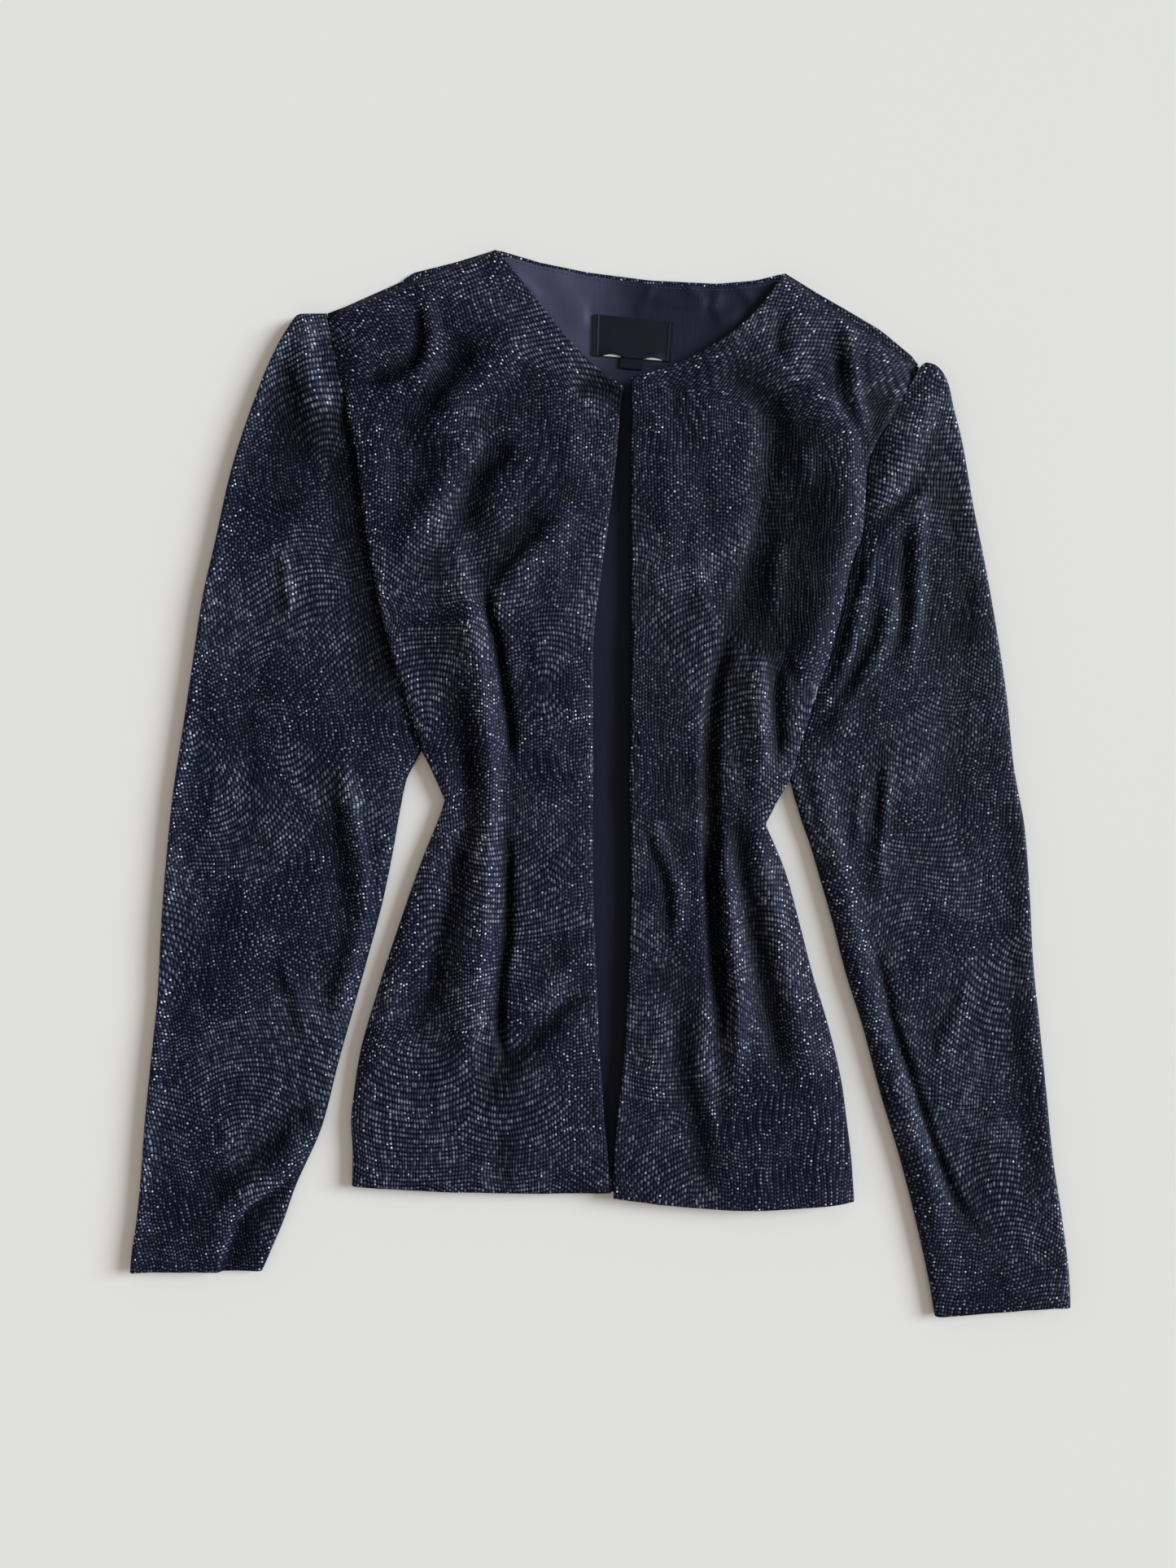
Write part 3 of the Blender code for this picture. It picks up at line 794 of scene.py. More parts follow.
@dataclass
class Front:
    """A front: a single panel from hem to shoulder, open at hem, neck and centre edge."""

    name: str
    node: str
    seam: Armhole
    creases: tuple
    shades: tuple
    finish: GlitterKnit
    flat: tuple
    area: float
    hem_sag: float
    seed: int
    roll_upto: float
    edge_drop: float
    rows: int = 320
    columns: int = 112
    first_row: float = 2.4
    edge_inset: float = 2.2
    roll_steps: int = 9
    roll_radius: float = 2.7
    foot_rise: float = 1.6
    foot_reach: float = 14.0
    seam_rise: float = 3.9
    seam_reach: float = 6.0
    seam_run: float = 3.0
    seam_climb: float = 0.8
    drop_reach: float = 12.0
    settle: float = 6.0
    shoulder_settle: float = 4.5
    sag_height: float = 45.0
    weave_lean: float = 0.6
    # Grid steps that count as near for the painted light and shade
    painted_light_reach: int = 8

    def edges(self, at: Array) -> tuple[Array, Array, Array]:
        """The panel's two long edges.

        Args:
            at: Each row's place along the sections.

        Returns:
            The side edge and the centre edge in plan, and how far each row is from the ends of the
            armhole seam, 0 below it.
        """
        keys = self.seam.keys()
        start, end = self.seam.side_curve(at), self.seam.centre_curve(at)
        at_seam = at > keys[self.seam.underarm]
        line = self.seam.line(200, -SEAM_GAP / 2)[::-1]
        along = steps_along(line)
        place = np.interp(at[at_seam], [keys[self.seam.underarm], keys[-1]], [0, 1])
        fine = steps_along(self.seam.armhole_edge())
        share = np.interp(place, np.linspace(0, 1, len(fine)), fine / fine[-1])
        start[at_seam] = read_path(share * along[-1], along, line)
        from_seam_ends = np.zeros(self.rows)
        from_seam_ends[at_seam] = np.minimum(share, 1 - share) * along[-1]
        return start, end, from_seam_ends

    def side_roll(self, rolled: Array, from_seam_ends: Array) -> tuple[Array, Array]:
        """The side edge: round where the front rolls under, plain where the sleeve is sewn on.

        Args:
            rolled: 1 on each row that rolls, and 0 on each row that is plain.
            from_seam_ends: How far each row is from the ends of the armhole seam.

        Returns:
            How far in and how high each step lies, rows by steps.
        """
        rolled, ends = rolled[:, None], from_seam_ends[:, None]
        base = SEAM_FLOOR + self.foot_rise * grown(ends, self.foot_reach)
        seam_top = SEAM_FLOOR + KNIT_WALL + self.seam_rise * grown(ends, self.seam_reach)
        angle = np.radians(np.linspace(-90, 90, self.roll_steps + 1))
        step = np.linspace(0, 1, self.roll_steps + 1)
        inward = rolled * self.roll_radius * (1 - np.cos(angle)) + (1 - rolled) * step * self.seam_run
        upward = rolled * (base + self.roll_radius * (1 + np.sin(angle)))
        return inward, upward + (1 - rolled) * (seam_top + self.seam_climb * step)

    def surface(self) -> tuple[Array, Array, Array]:
        """Points, weave map, and painted light and shade of the outer face, from the side seam over its roll
        to the centre.
        """
        keys = self.seam.keys()
        at = np.concatenate([EDGE_STEPS, np.linspace(self.first_row, keys[-1], self.rows - len(EDGE_STEPS))])
        start, end, from_seam_ends = self.edges(at)
        reach = np.linalg.norm(end - start, axis=1)[:, None]
        inward = (end - start) / reach
        rolled = np.where(at > keys[self.seam.underarm], below(start[:, 1], self.roll_upto), 1.0)
        roll_in, roll_up = self.side_roll(rolled, from_seam_ends)
        top_in, top_up = roll_in[:, -1:], roll_up[:, -1:]
        flat_in = top_in + (reach - top_in - self.edge_inset) * np.linspace(0, 1, self.columns)
        inside = np.concatenate([roll_in[:, :-1], flat_in, reach - EDGE_STEPS[::-1]], axis=1)
        x = start[:, :1] + inward[:, :1] * inside
        y = start[:, 1:] + inward[:, 1:] * inside
        height = self.height(x, y, inside, reach, end)
        height = top_up + (height - top_up) * grown(np.maximum(inside - top_in, 0), self.settle)
        height[:, :self.roll_steps] = roll_up[:, :-1]
        shoulder = away_from(np.stack([start[-1], end[-1]]), x, y)
        low = SEAM_FLOOR + KNIT_WALL + 0.2
        height = low + (height - low) * grown(shoulder, self.shoulder_settle)
        bend = 1 - np.clip(np.minimum(reach - inside, at[:, None]) / EDGE_ROLL, 0, 1)
        height = height - EDGE_DIP * (1 - np.sqrt(1 - bend ** 2))
        sag = self.hem_sag * np.clip(1 - (y - y[0].min()) / self.sag_height, 0, 1)
        y = y - sag * np.sin(np.pi * np.clip(inside / reach, 0, 1))
        points = np.stack([x, y, height], axis=-1)
        step_x = np.linalg.norm(np.diff(points[..., [0, 2]], axis=1), axis=-1)
        run = np.concatenate([np.zeros((self.rows, 1)), np.cumsum(step_x, axis=1)], axis=1)
        across = end[:, :1] * self.weave_lean + self.seam.side.value * (run[:, -1:] - run)
        # Painted shade in troughs and painted light on ridges, with the listed painted shade and light added
        painted_light = painted_light_map(x, y, height, self.shades, self.painted_light_reach)
        return points, np.stack([across, y], axis=-1), painted_light

    def height(self, x: Array, y: Array, inside: Array, reach: Array, end: Array) -> Array:
        """How high the outer face lies away from its side roll.

        Args:
            x, y: Places in plan.
            inside: Distance from the side edge.
            reach: Length of each row.
            end: The centre or neck edge.

        Returns:
            Heights, clear of the lining.
        """
        height = FRONT_CROWN + sum(crease.lift(x, y) for crease in self.creases)
        height = held_above(height + uneven(x, y, FRONT_HILLS, self.seed), LOWEST_FRONT)
        free = np.minimum(reach - inside, y - end[0, 1] + 2)
        return height - self.edge_drop * np.exp(-np.maximum(free, 0) / self.drop_reach)

    def build(self) -> bpy.types.Object:
        points, weave, painted_light = self.surface()
        piece = sheet_mesh(self.name, points, weave, KNIT_WALL, painted_light=painted_light)
        piece.data.materials.append(self.finish.material())
        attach(piece, BODY)
        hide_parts(self.node)
        LOG.info("%s: %.4f square metres of cloth", self.name, area_of(points))
        return piece


@dataclass
class Sleeve:
    """A sleeve: a flattened tube, open at the cuff and the armhole."""

    name: str
    node: str
    seam: Armhole
    rings: tuple
    creases: tuple
    shades: tuple
    finish: GlitterKnit
    flat: tuple
    area: float
    lean: float
    seed: int
    folded_cuff: bool
    roll_upto: float
    rim_width: float
    rows: int = 270
    upper: int = 96
    lower: int = 26
    fold_radius: float = 2.6
    fold_rise: float = 1.15
    fold_reach: float = 1.5
    settle: float = 6.5
    rim: float = 2.4
    head_reach: float = 75.0
    # Painted light and shade: grid steps that count as near, and the lower layer's one value
    painted_light_reach: int = 7
    under_painted_light: float = 0.6
    cuff_reach: float = 25.0
    cuff_step: float = 3.2
    cuff_early: float = 6.0
    cuff_ease: float = 14.0
    cuff_edge: float = 3.0
    seam_tops: tuple = (3.8, 6.2)
    seam_reaches: tuple = (12.0, 9.0)

    def lines(self, shares: Array) -> tuple[Array, Array, Array]:
        """Plan of the sleeve.

        Args:
            shares: Places across each ring, from its outer fold, 0, to its inner fold, 1.

        Returns:
            X and Y, rows by shares, and the seam line.
        """
        seam = self.seam.line(300, SEAM_GAP / 2)
        table = np.array([*self.rings, Ring(*seam[0], *seam[-1])], float)
        keys = steps_along(table[:, :2]) * 0.75 + steps_along(table[:, 2:]) * 0.25
        at = np.linspace(0, keys[-1], self.rows)
        curve = np.stack([eased(keys, table[:, k], at) for k in range(4)], axis=-1)
        start, end = curve[:, None, :2], curve[:, None, 2:]
        along = np.linspace(0, 1, len(seam))
        chord = seam[0] + (seam[-1] - seam[0]) * along[:, None]
        bulge = read_path(shares, along, seam - chord)
        near = np.exp(-(np.linalg.norm(curve[:, :2] - seam[0], axis=1) / self.head_reach) ** 2)
        plan = start + (end - start) * shares[:, None] + bulge * near[:, None, None]
        return plan[..., 0], plan[..., 1], seam

    def surface(self) -> tuple[Array, Array, Array]:
        """Points, weave map, and painted light and shade of the outer face: upper layer, then lower layer
        back.
        """
        shares, mid = self.crowded(self.upper), self.fold_radius
        x, y, seam = self.lines(shares)
        length = np.hypot(x[:, -1] - x[:, 0], y[:, -1] - y[:, 0])[:, None]
        from_end = np.minimum(shares, 1 - shares) * length
        rounded = self.round_of(from_end, mid * self.fold_reach)
        top = self.height(x, y, seam) - mid * (1 + self.fold_rise)
        top = mid + mid * self.fold_rise * rounded + top * grown(from_end, self.settle)
        top = top + self.rim * rounded * np.exp(-(shares * length / self.rim_width) ** 2)
        under_shares = self.crowded(self.lower)[::-1][1:-1]
        ux, uy, _ = self.lines(under_shares)
        from_end = np.minimum(under_shares, 1 - under_shares) * length
        low = mid * (1 - self.round_of(from_end, mid))
        points = np.concatenate([np.stack([x, y, top], axis=-1), np.stack([ux, uy, low], axis=-1)], axis=1)
        (wx, wy), (vx, vy) = self.turned(x, y), self.turned(ux, uy)
        fold = wx[:, -1:]
        across = np.concatenate([wx, 2 * fold - vx, 2 * fold - wx[:, :1]], axis=1)
        along = np.concatenate([wy, vy, wy[:, :1]], axis=1)
        # Painted shade in troughs and painted light on ridges of the upper layer, and one value for the
        # lower layer
        painted_light = painted_light_map(x, y, top, self.shades, self.painted_light_reach)
        painted_light = np.concatenate([painted_light, np.full(low.shape, self.under_painted_light)], axis=1)
        return points, np.stack([across, along], axis=-1), painted_light

    def turned(self, x: Array, y: Array) -> tuple[Array, Array]:
        """Places in a frame that leans with the sleeve."""
        cosine, sine = math.cos(math.radians(self.lean)), math.sin(math.radians(self.lean))
        return x * cosine + y * sine, y * cosine - x * sine

    @staticmethod
    def round_of(away: Array, radius: float) -> Array:
        """Height of a quarter round, from 0 at its edge to 1 a radius away."""
        return np.sqrt(np.clip(1 - (1 - np.clip(away / radius, 0, 1)) ** 2, 0, 1))

    @staticmethod
    def crowded(count: int) -> Array:
        """Places across a ring, closer together at the two folds."""
        even = np.linspace(0, 1, count)
        return 0.62 * even + 0.38 * (1 - np.cos(np.pi * even)) / 2

    def height(self, x: Array, y: Array, seam: Array) -> Array:
        """How high the upper layer lies away from its folds.

        Args:
            x, y: Places in plan.
            seam: The armhole seam, to whose height the layer comes down; lower under a front's roll.

        Returns:
            Heights, clear of the lower layer.
        """
        cuff = min(self.rings[0].outer_y, self.rings[0].inner_y)
        crown = SLEEVE_CROWN + (CUFF_CROWN - SLEEVE_CROWN) * np.exp(-(y - cuff) / self.cuff_reach)
        height = crown + sum(crease.lift(x, y) for crease in self.creases)
        height = height + uneven(x, y, SLEEVE_HILLS, self.seed)
        if self.folded_cuff:
            height = height - self.cuff_drop(x, y)
        height = held_above(height, LOWEST_SLEEVE)
        under_front = below(y, self.roll_upto)
        seam_top, reach = (low * under_front + high * (1 - under_front)
                           for low, high in (self.seam_tops, self.seam_reaches))
        return seam_top + (height - seam_top) * grown(away_from(seam[::6], x, y), reach)

    def cuff_drop(self, x: Array, y: Array) -> Array:
        """How far the upper layer lies down beyond the cuff's diagonal fold."""
        path = smooth_path(np.array(CUFF_FOLD, float), steps=8)
        order = path[:, 1].argsort()
        edge = np.interp(y, path[order, 1], path[order, 0])
        begun = smoothstep((CUFF_FOLD[0][1] + self.cuff_early - y) / self.cuff_ease)
        return self.cuff_step * begun * smoothstep((x - edge) / self.cuff_edge + 0.5)

    def build(self) -> bpy.types.Object:
        points, weave, painted_light = self.surface()
        piece = sheet_mesh(self.name, points, weave, KNIT_WALL, looped=True, painted_light=painted_light)
        piece.data.materials.append(self.finish.material())
        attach(piece, BODY)
        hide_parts(self.node)
        LOG.info("%s: %.4f square metres of cloth", self.name, area_of(points, looped=True))
        return piece


@dataclass
class Back:
    """The back: flat on the surface, seen only as a strip at the neck and above the shoulders."""

    right: Armhole
    left: Armhole
    finish: GlitterKnit
    rows: int = 160
    columns: int = 90
    side_inset: float = 0.35
    waist_row: float = 0.36
    underarm_row: float = 0.41
    climb_from: float = 0.55
    # Painted light on the back's strip, the same all over
    painted_light: float = 0.95

    def surface(self) -> tuple[Array, Array]:
        """Points and weave map of the upper face, from the wearer's right to the left."""
        share = np.linspace(0, 1, self.rows)
        edges = []
        for seam in (self.right, self.left):
            keys = seam.keys()
            stops = [0, keys[seam.waist], keys[seam.underarm], keys[-1]]
            at = np.interp(share, [0, self.waist_row, self.underarm_row, 1], stops)
            edges.append(seam.side_curve(at) - [seam.side.value * self.side_inset, 0])
        across = np.linspace(0, 1, self.columns)
        x, y = (edges[0][:, k:k + 1] + (edges[1] - edges[0])[:, k:k + 1] * across for k in (0, 1))
        climb = smoothstep((share - self.climb_from) / (1 - self.climb_from))[:, None]
        y = y + (top_edge(x[-1]) - y[-1]) * climb
        return np.stack([x, y, np.full_like(x, BACK_TOP)], axis=-1), np.stack([x, y], axis=-1)

    def build(self) -> bpy.types.Object:
        points, weave = self.surface()
        painted_light = np.full(points.shape[:2], self.painted_light)
        piece = sheet_mesh("back_shell", points, weave, BACK_TOP, painted_light=painted_light)
        piece.data.materials.append(self.finish.material())
        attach(piece, BODY)
        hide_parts("back")
        LOG.info("back_shell: %.4f square metres of cloth", area_of(points))
        return piece


def top_edge(x: Array) -> Array:
    """The back's upper edge in plan: shoulder, neck, shoulder."""
    path = np.array(TOP_EDGE, float)
    return np.interp(x, path[:, 0], path[:, 1])


@dataclass
class BackLining:
    """The satin lining that shows in the neck and between the front edges."""

    right: Armhole
    left: Armhole
    creases: tuple
    finish: SatinLining
    seed: int = 71
    rows: int = 220
    columns: int = 150
    inset: float = 8.0
    hem_y: float = -230.0
    top_y: float = 300.0
    neck_x: tuple = (-66.0, 116.0)
    neck_strip: float = 2.6
    shoulder_strip: float = 11.0
    label_x: tuple = (-8.0, 49.0)
    label_y: tuple = (250.0, 292.0)
    label_rise: float = 0.1

    def surface(self) -> tuple[Array, Array]:
        """Points and weave map of the upper face."""
        share = np.linspace(0, 1, self.rows)
        height = self.hem_y + (self.top_y - self.hem_y) * share
        limits = []
        for seam in (self.right, self.left):
            curve = seam.side_curve(np.linspace(0, seam.keys()[-1], 500))
            x = np.interp(height, curve[:, 1], curve[:, 0], right=curve[-1, 0])
            limits.append(x - seam.side.value * self.inset)
        across = np.linspace(0, 1, self.columns)
        x = limits[0][:, None] + (limits[1] - limits[0])[:, None] * across
        near_neck = smoothstep(np.minimum(x - self.neck_x[0], self.neck_x[1] - x) / 10)
        top = top_edge(x) - self.neck_strip - self.shoulder_strip * (1 - near_neck)
        y = self.hem_y + (top - self.hem_y) * share[:, None]
        return np.stack([x, y, self.height(x, y)], axis=-1), np.stack([x, y], axis=-1)

    def height(self, x: Array, y: Array) -> Array:
        """How high the upper face lies: soft creases, and flat under the label."""
        z = LINING_TOP + sum(c.lift(x, y) for c in self.creases) + uneven(x, y, LINING_HILLS, self.seed)
        label = ((x > self.label_x[0]) & (x < self.label_x[1])
                 & (y > self.label_y[0]) & (y < self.label_y[1]))
        return np.where(label, np.minimum(z, LINING_TOP + self.label_rise), z)

    def build(self) -> bpy.types.Object:
        points, weave = self.surface()
        piece = sheet_mesh("back_lining_shell", points, weave, LINING_WALL)
        piece.data.materials.append(self.finish.material())
        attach(piece, BODY)
        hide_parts("back_lining")
        LOG.info("back_lining_shell: %.4f square metres of cloth", area_of(points))
        return piece


@dataclass
class NeckLabel:
    """The woven label, left bare: turned ends, and its lower edge held up by the tab beneath."""

    finish: WovenRibbon
    backing_finish: WovenRibbon
    corners: tuple = ((-3.9, 288.0), (45.2, 283.2), (43.4, 258.7), (-4.6, 262.6))
    slivers: tuple = ((1.0, 14.4), (26.6, 39.4))
    width: float = 49.0
    depth: float = 25.0
    turned: float = 2.9
    lifted_x: tuple = (-2.0, 42.0)
    lifted_from: float = 0.70
    lift: float = 0.95
    end_fold: float = 0.30
    groove: float = 0.20
    rim: float = 0.16
    waver: float = 0.06
    arch: float = 1.5
    tab_x: tuple = (10.5, 28.8)
    backing_share: tuple = (0.135, 0.885)
    backing_down: tuple = (0.80, 0.992)
    backing_wall: float = 0.12
    low: float = LINING_TOP + SEAM_GAP
    rows: int = 60
    columns: int = 120
    seed: int = 91

    def plan(self, share: Array, down: Array) -> Array:
        """Places on the label.

        Args:
            share: From its left end in the picture, 0, to its right end, 1.
            down: From its upper edge, 0, to its lower edge, 1.

        Returns:
            X and Y of each place.
        """
        a, b, c, d = (np.array(corner) for corner in self.corners)
        u, v = share[..., None], down[..., None]
        return (a * (1 - u) + b * u) * (1 - v) + (d * (1 - u) + c * u) * v

    def surface(self) -> Array:
        """Points of the label's upper face."""
        crowd = (1 - np.cos(np.pi * np.linspace(0, 1, self.rows))) / 2
        share, down = np.meshgrid(np.linspace(0, 1, self.columns), crowd)
        plan = self.plan(share, down)
        x, y = plan[..., 0], plan[..., 1]
        lift = self.lift * smoothstep((down - self.lifted_from) / 0.26) * between(x, *self.lifted_x, 9)
        end = np.minimum(share, 1 - share) * self.width
        fold = self.end_fold * (1 - smoothstep((end - self.turned) / 0.35)) * (1 - 0.45 * (share > 0.5))
        groove = self.groove * np.exp(-((end - self.turned / 2) / 0.28) ** 2)
        edge = self.rim * np.exp(-(np.minimum(down, 1 - down) * self.depth / 0.45) ** 2)
        z = self.low + RIBBON_WALL + lift + fold - groove - edge
        z = z + self.waver * ripple(x, y, 7, 6, self.seed)
        for start, stop in self.slivers:
            arch = np.sin(np.pi * np.clip((x - start) / (stop - start), 0, 1))
            y = y + self.arch * arch * smoothstep((down - self.lifted_from) / 0.30)
        return np.stack([x, y, z], axis=-1)

    def backing(self) -> Array:
        """Points of the pale backing, which shows under the lower edge and passes under the tab."""
        share, down = np.meshgrid(np.linspace(*self.backing_share, 80), np.linspace(*self.backing_down, 8))
        plan = self.plan(share, down)
        near_tab = between(plan[..., 0], *self.tab_x, 1.5)
        bed = self.low + 0.12 + 0.5 * smoothstep((down - self.backing_down[0]) / 0.15)
        bed = bed * (1 - near_tab) + 1.02 * near_tab * (self.low + 0.1)
        return np.concatenate([plan, bed[..., None]], axis=-1)

    def build(self) -> bpy.types.Object:
        points, strip = self.surface(), self.backing()
        piece = sheet_mesh("neck_label_ribbon", points, points[..., :2], RIBBON_WALL)
        piece.data.materials.append(self.finish.material())
        backing = sheet_mesh("neck_label_backing", strip, strip[..., :2], self.backing_wall)
        backing.data.materials.append(self.backing_finish.material())
        for made in (piece, backing):
            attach(made, BODY)
        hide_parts("neck_label")
        LOG.info("neck_label_ribbon: %.5f square metres of ribbon", area_of(points))
        return piece


@dataclass
class SizeTab:
    """The small woven tab under the label: a folded loop, left bare."""

    finish: WovenRibbon
    corners: tuple = ((12.85, 263.0), (26.9, 261.6), (25.8, 253.4), (12.2, 254.9))
    width: float = 14.0
    wall: float = 0.25
    radius: float = 0.36
    low: float = LINING_TOP + SEAM_GAP
    columns: int = 40
    layer_steps: int = 23
    turn_steps: int = 13

    def build(self) -> bpy.types.Object:
        layer, turn = np.zeros(self.layer_steps), np.radians(np.linspace(90, -90, self.turn_steps))
        down = np.linspace(0, 1, self.layer_steps + 1)
        run = np.concatenate([down[:-1], np.ones(self.turn_steps), down[::-1][1:]])
        out = np.concatenate([layer, self.radius * np.cos(turn), layer])
        up = np.concatenate([layer + self.radius, self.radius * np.sin(turn), layer - self.radius])
        share = np.linspace(0, 1, self.columns)
        a, b, c, d = (np.array(corner) for corner in self.corners)
        top, bottom = a + (b - a) * share[:, None], d + (c - d) * share[:, None]
        ahead = (bottom - top) / np.linalg.norm(bottom - top, axis=1)[:, None]
        plan = top + (bottom - top - ahead * self.radius) * run[:, None, None] + ahead * out[:, None, None]
        z = self.low + self.radius + up[:, None] + np.zeros(self.columns)
        points = np.concatenate([plan, z[..., None]], axis=-1)
        along = steps_along(points[:, self.columns // 2])
        weave = np.stack(np.broadcast_arrays(share * self.width, along[:, None]), axis=-1)
        piece = sheet_mesh("size_tab_loop", points, weave, self.wall)
        piece.data.materials.append(self.finish.material())
        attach(piece, BODY)
        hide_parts("size_tab")
        LOG.info("size_tab_loop: %.6f square metres of ribbon", area_of(points))
        return piece


@dataclass
class StitchLine:
    """A row of short stitches that lie half sunk in the cloth."""

    name: str
    slot: str
    finish: Thread
    path: tuple
    above: Callable[[Array, Array], Array]
    length: float = 2.1
    pitch: float = 2.9
    radius: float = 0.16
    sides: int = 8
    first_at: float = 0.4
    profile: tuple = ((0.0, 0.0), (0.12, 0.7), (0.5, 1.0), (0.88, 0.7), (1.0, 0.0))

    def build(self) -> bpy.types.Object:
        """Makes every stitch in one mesh."""
        line = smooth_path(np.array(self.path, float), steps=12)
        along = steps_along(line)
        starts = np.arange(self.first_at, along[-1] - self.length, self.pitch)
        verts, faces = [], []
        for start in starts:
            faces += self.skin(len(verts))
            for share, width in self.profile:
                verts += self.ring(start + share * self.length, share, width, along, line)
        mesh = bpy.data.meshes.new(self.name)
        mesh.from_pydata([tuple(v * MM) for v in verts], [], faces)
        mesh.shade_smooth()
        piece = placed(self.name, mesh)
        piece.data.materials.append(self.finish.material())
        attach(piece, BODY)
        LOG.info("%s: %d stitches", self.name, len(starts))
        return piece

    def ring(self, at: float, share: float, width: float, along: Array, line: Array) -> list[Vector]:
        """Points round a stitch at one place.

        Args:
            at: Distance along the line.
            share: Place along the stitch, 0 to 1.
            width: Share of the thread's radius; 0 gives a single point.
            along: Distances of the line's points.
            line: The line in plan.

        Returns:
            The points, one or a ring of them.
        """
        (x, y), (bx, by) = read_path(at, along, line), read_path(at + 0.2, along, line)
        ahead = Vector((bx - x, by - y, 0)).normalized()
        beside = Vector((-ahead.y, ahead.x, 0))
        sunk = 0.35 * (1 - math.sin(math.pi * share))
        height = float(self.above(np.array(x), np.array(y))) + self.radius * (0.5 - sunk)
        centre, radius = Vector((x, y, height)), self.radius * width
        if width == 0.0:
            return [centre]
        turn = np.linspace(0, 2 * np.pi, self.sides, endpoint=False)
        return [centre + beside * radius * math.cos(angle) + Vector((0, 0, 1)) * radius * math.sin(angle)
                for angle in turn]

    def skin(self, first: int) -> list[tuple]:
        """Faces of one stitch.

        Args:
            first: Index of its first point.

        Returns:
            Point indices of each face.
        """
        n, last = self.sides, first + 1 + 3 * self.sides
        faces = []
        for k in range(n):
            j = (k + 1) % n
            faces.append((first, first + 1 + j, first + 1 + k))
            for ring in range(2):
                low = first + 1 + ring * n
                faces.append((low + k, low + j, low + n + j, low + n + k))
            faces.append((last, last - n + k, last - n + j))
        return faces


@dataclass
class Studio:
    """Floor, soft window light from the right, and the camera above the jacket."""

    camera_height: float = 0.700
    lens_mm: float = 26.0
    sensor_mm: float = 36.0
    aim: tuple = (-0.0075, -0.0012)
    floor_size: float = 6.0
    floor_z: float = -0.0003
    window_towards: tuple = (0.86, 0.20, 0.40)
    window_strength: float = 4.45
    window_degrees: float = 26.0
    window_colour: tuple = (0.83, 0.93, 1.0)
    room_colour: tuple = (1.0, 0.87, 0.77, 1)
    room_strength: float = 0.46

    def build(self) -> None:
        """Sets the floor, light and camera."""
        bpy.ops.mesh.primitive_plane_add(size=self.floor_size, location=(0, 0, self.floor_z))
        floor = bpy.context.active_object
        floor.name = "pale_floor"
        floor.data.materials.append(PaperFloor().material())
        self.window()
        self.room()
        bpy.context.scene.view_settings.view_transform = "Standard"
        self.camera()

    def window(self) -> None:
        """A far, broad, soft light."""
        data = bpy.data.lights.new("window", "SUN")
        data.energy = self.window_strength
        data.angle = math.radians(self.window_degrees)
        data.color = self.window_colour
        light = placed("window", data)
        light.rotation_euler = Vector(self.window_towards).to_track_quat("Z", "Y").to_euler()

    def room(self) -> None:
        """Warm light from all round, which shows in no sheen."""
        world = bpy.data.worlds.new("room")
        bpy.context.scene.world = world
        world.use_nodes = True
        inputs = world.node_tree.nodes["Background"].inputs
        inputs["Color"].default_value = self.room_colour
        inputs["Strength"].default_value = self.room_strength
        world.cycles_visibility.glossy = False

    def camera(self) -> None:
        """The camera, straight above the middle of the picture."""
        data = bpy.data.cameras.new("camera")
        data.lens = self.lens_mm
        data.sensor_width = self.sensor_mm
        camera = placed("camera", data)
        camera.location = (*self.aim, self.camera_height)
        camera.rotation_euler = (0, 0, 0)
        bpy.context.scene.camera = camera


# The jacket's outline, from hem to shoulder and from cuff to sleeve head

RIGHT_FRONT = tuple(Section(*row) for row in (
    (-152.5, -248, 6.5, -252), (-152, -229, 5, -232), (-153, -209, 3, -211), (-151, -189, 1.5, -190),
    (-148, -169, 0, -170), (-137, -129, -2, -130), (-124, -89, -3.5, -90), (-110, -49, -4.5, -49),
    (-98, -19, -4.5, -20), (-95.5, -11, -4.5, -8), (-105, 10, -4.5, 8), (-110, 19.5, -4.5, 20),
    (-119, 50, -4.5, 52), (-130, 85, -4, 86), (-138, 120, 0, 124), (-145, 160, 5.5, 162),
    (-150, 200, 10.5, 205), (-153, 215, 12.5, 228), (-155.5, 227, 15, 242.5), (-158, 241, 4, 249.5),
    (-161, 254, -18.5, 270.5), (-164.5, 271, -38.5, 295.5), (-168, 288.5, -64, 328),
))
LEFT_FRONT = tuple(Section(*row) for row in (
    (156, -257.5, 8, -254.5), (154, -229, 8.5, -228), (151.5, -209, 10, -208), (149, -189, 12.5, -188),
    (145, -169, 14.5, -168), (138.5, -144, 16, -142), (131, -120, 17, -118), (123, -89, 18, -88),
    (114, -56, 19, -54), (106, -36, 18.8, -34), (101.5, -26, 18.5, -24), (111, -8, 18, -8),
    (116.5, 1, 18, 2), (131.5, 50, 18.5, 50), (142.5, 82, 19, 82), (154.5, 134, 19, 137),
    (161, 155, 19, 165), (163, 178, 19, 200), (163.5, 193, 19, 226), (168, 204, 18.5, 247),
    (176, 217.5, 39, 253), (181.5, 228, 56.5, 260.5), (189.5, 242.5, 90, 283), (196.5, 255, 114, 312.5),
))
RIGHT_SLEEVE = tuple(Ring(*row) for row in (
    (-289, -300.5, -208, -300.5), (-288, -289, -203, -289), (-285, -269, -195, -270),
    (-283, -249, -188, -250), (-280, -209, -171, -211), (-276, -169, -161.5, -174),
    (-272, -129, -152, -140), (-270, -89, -142.5, -106), (-267, -49, -134, -74), (-263, -9, -128, -45),
    (-257, 31, -124, -22), (-251, 71, -121, -6), (-245, 111, -119, 2), (-236, 151, -117, 6.5),
    (-227, 191, -115, 10), (-214, 231, -113.4, 13), (-202, 261, -112.3, 15), (-192, 279, -111.4, 16.7),
    (-184, 288, -110.8, 18),
))
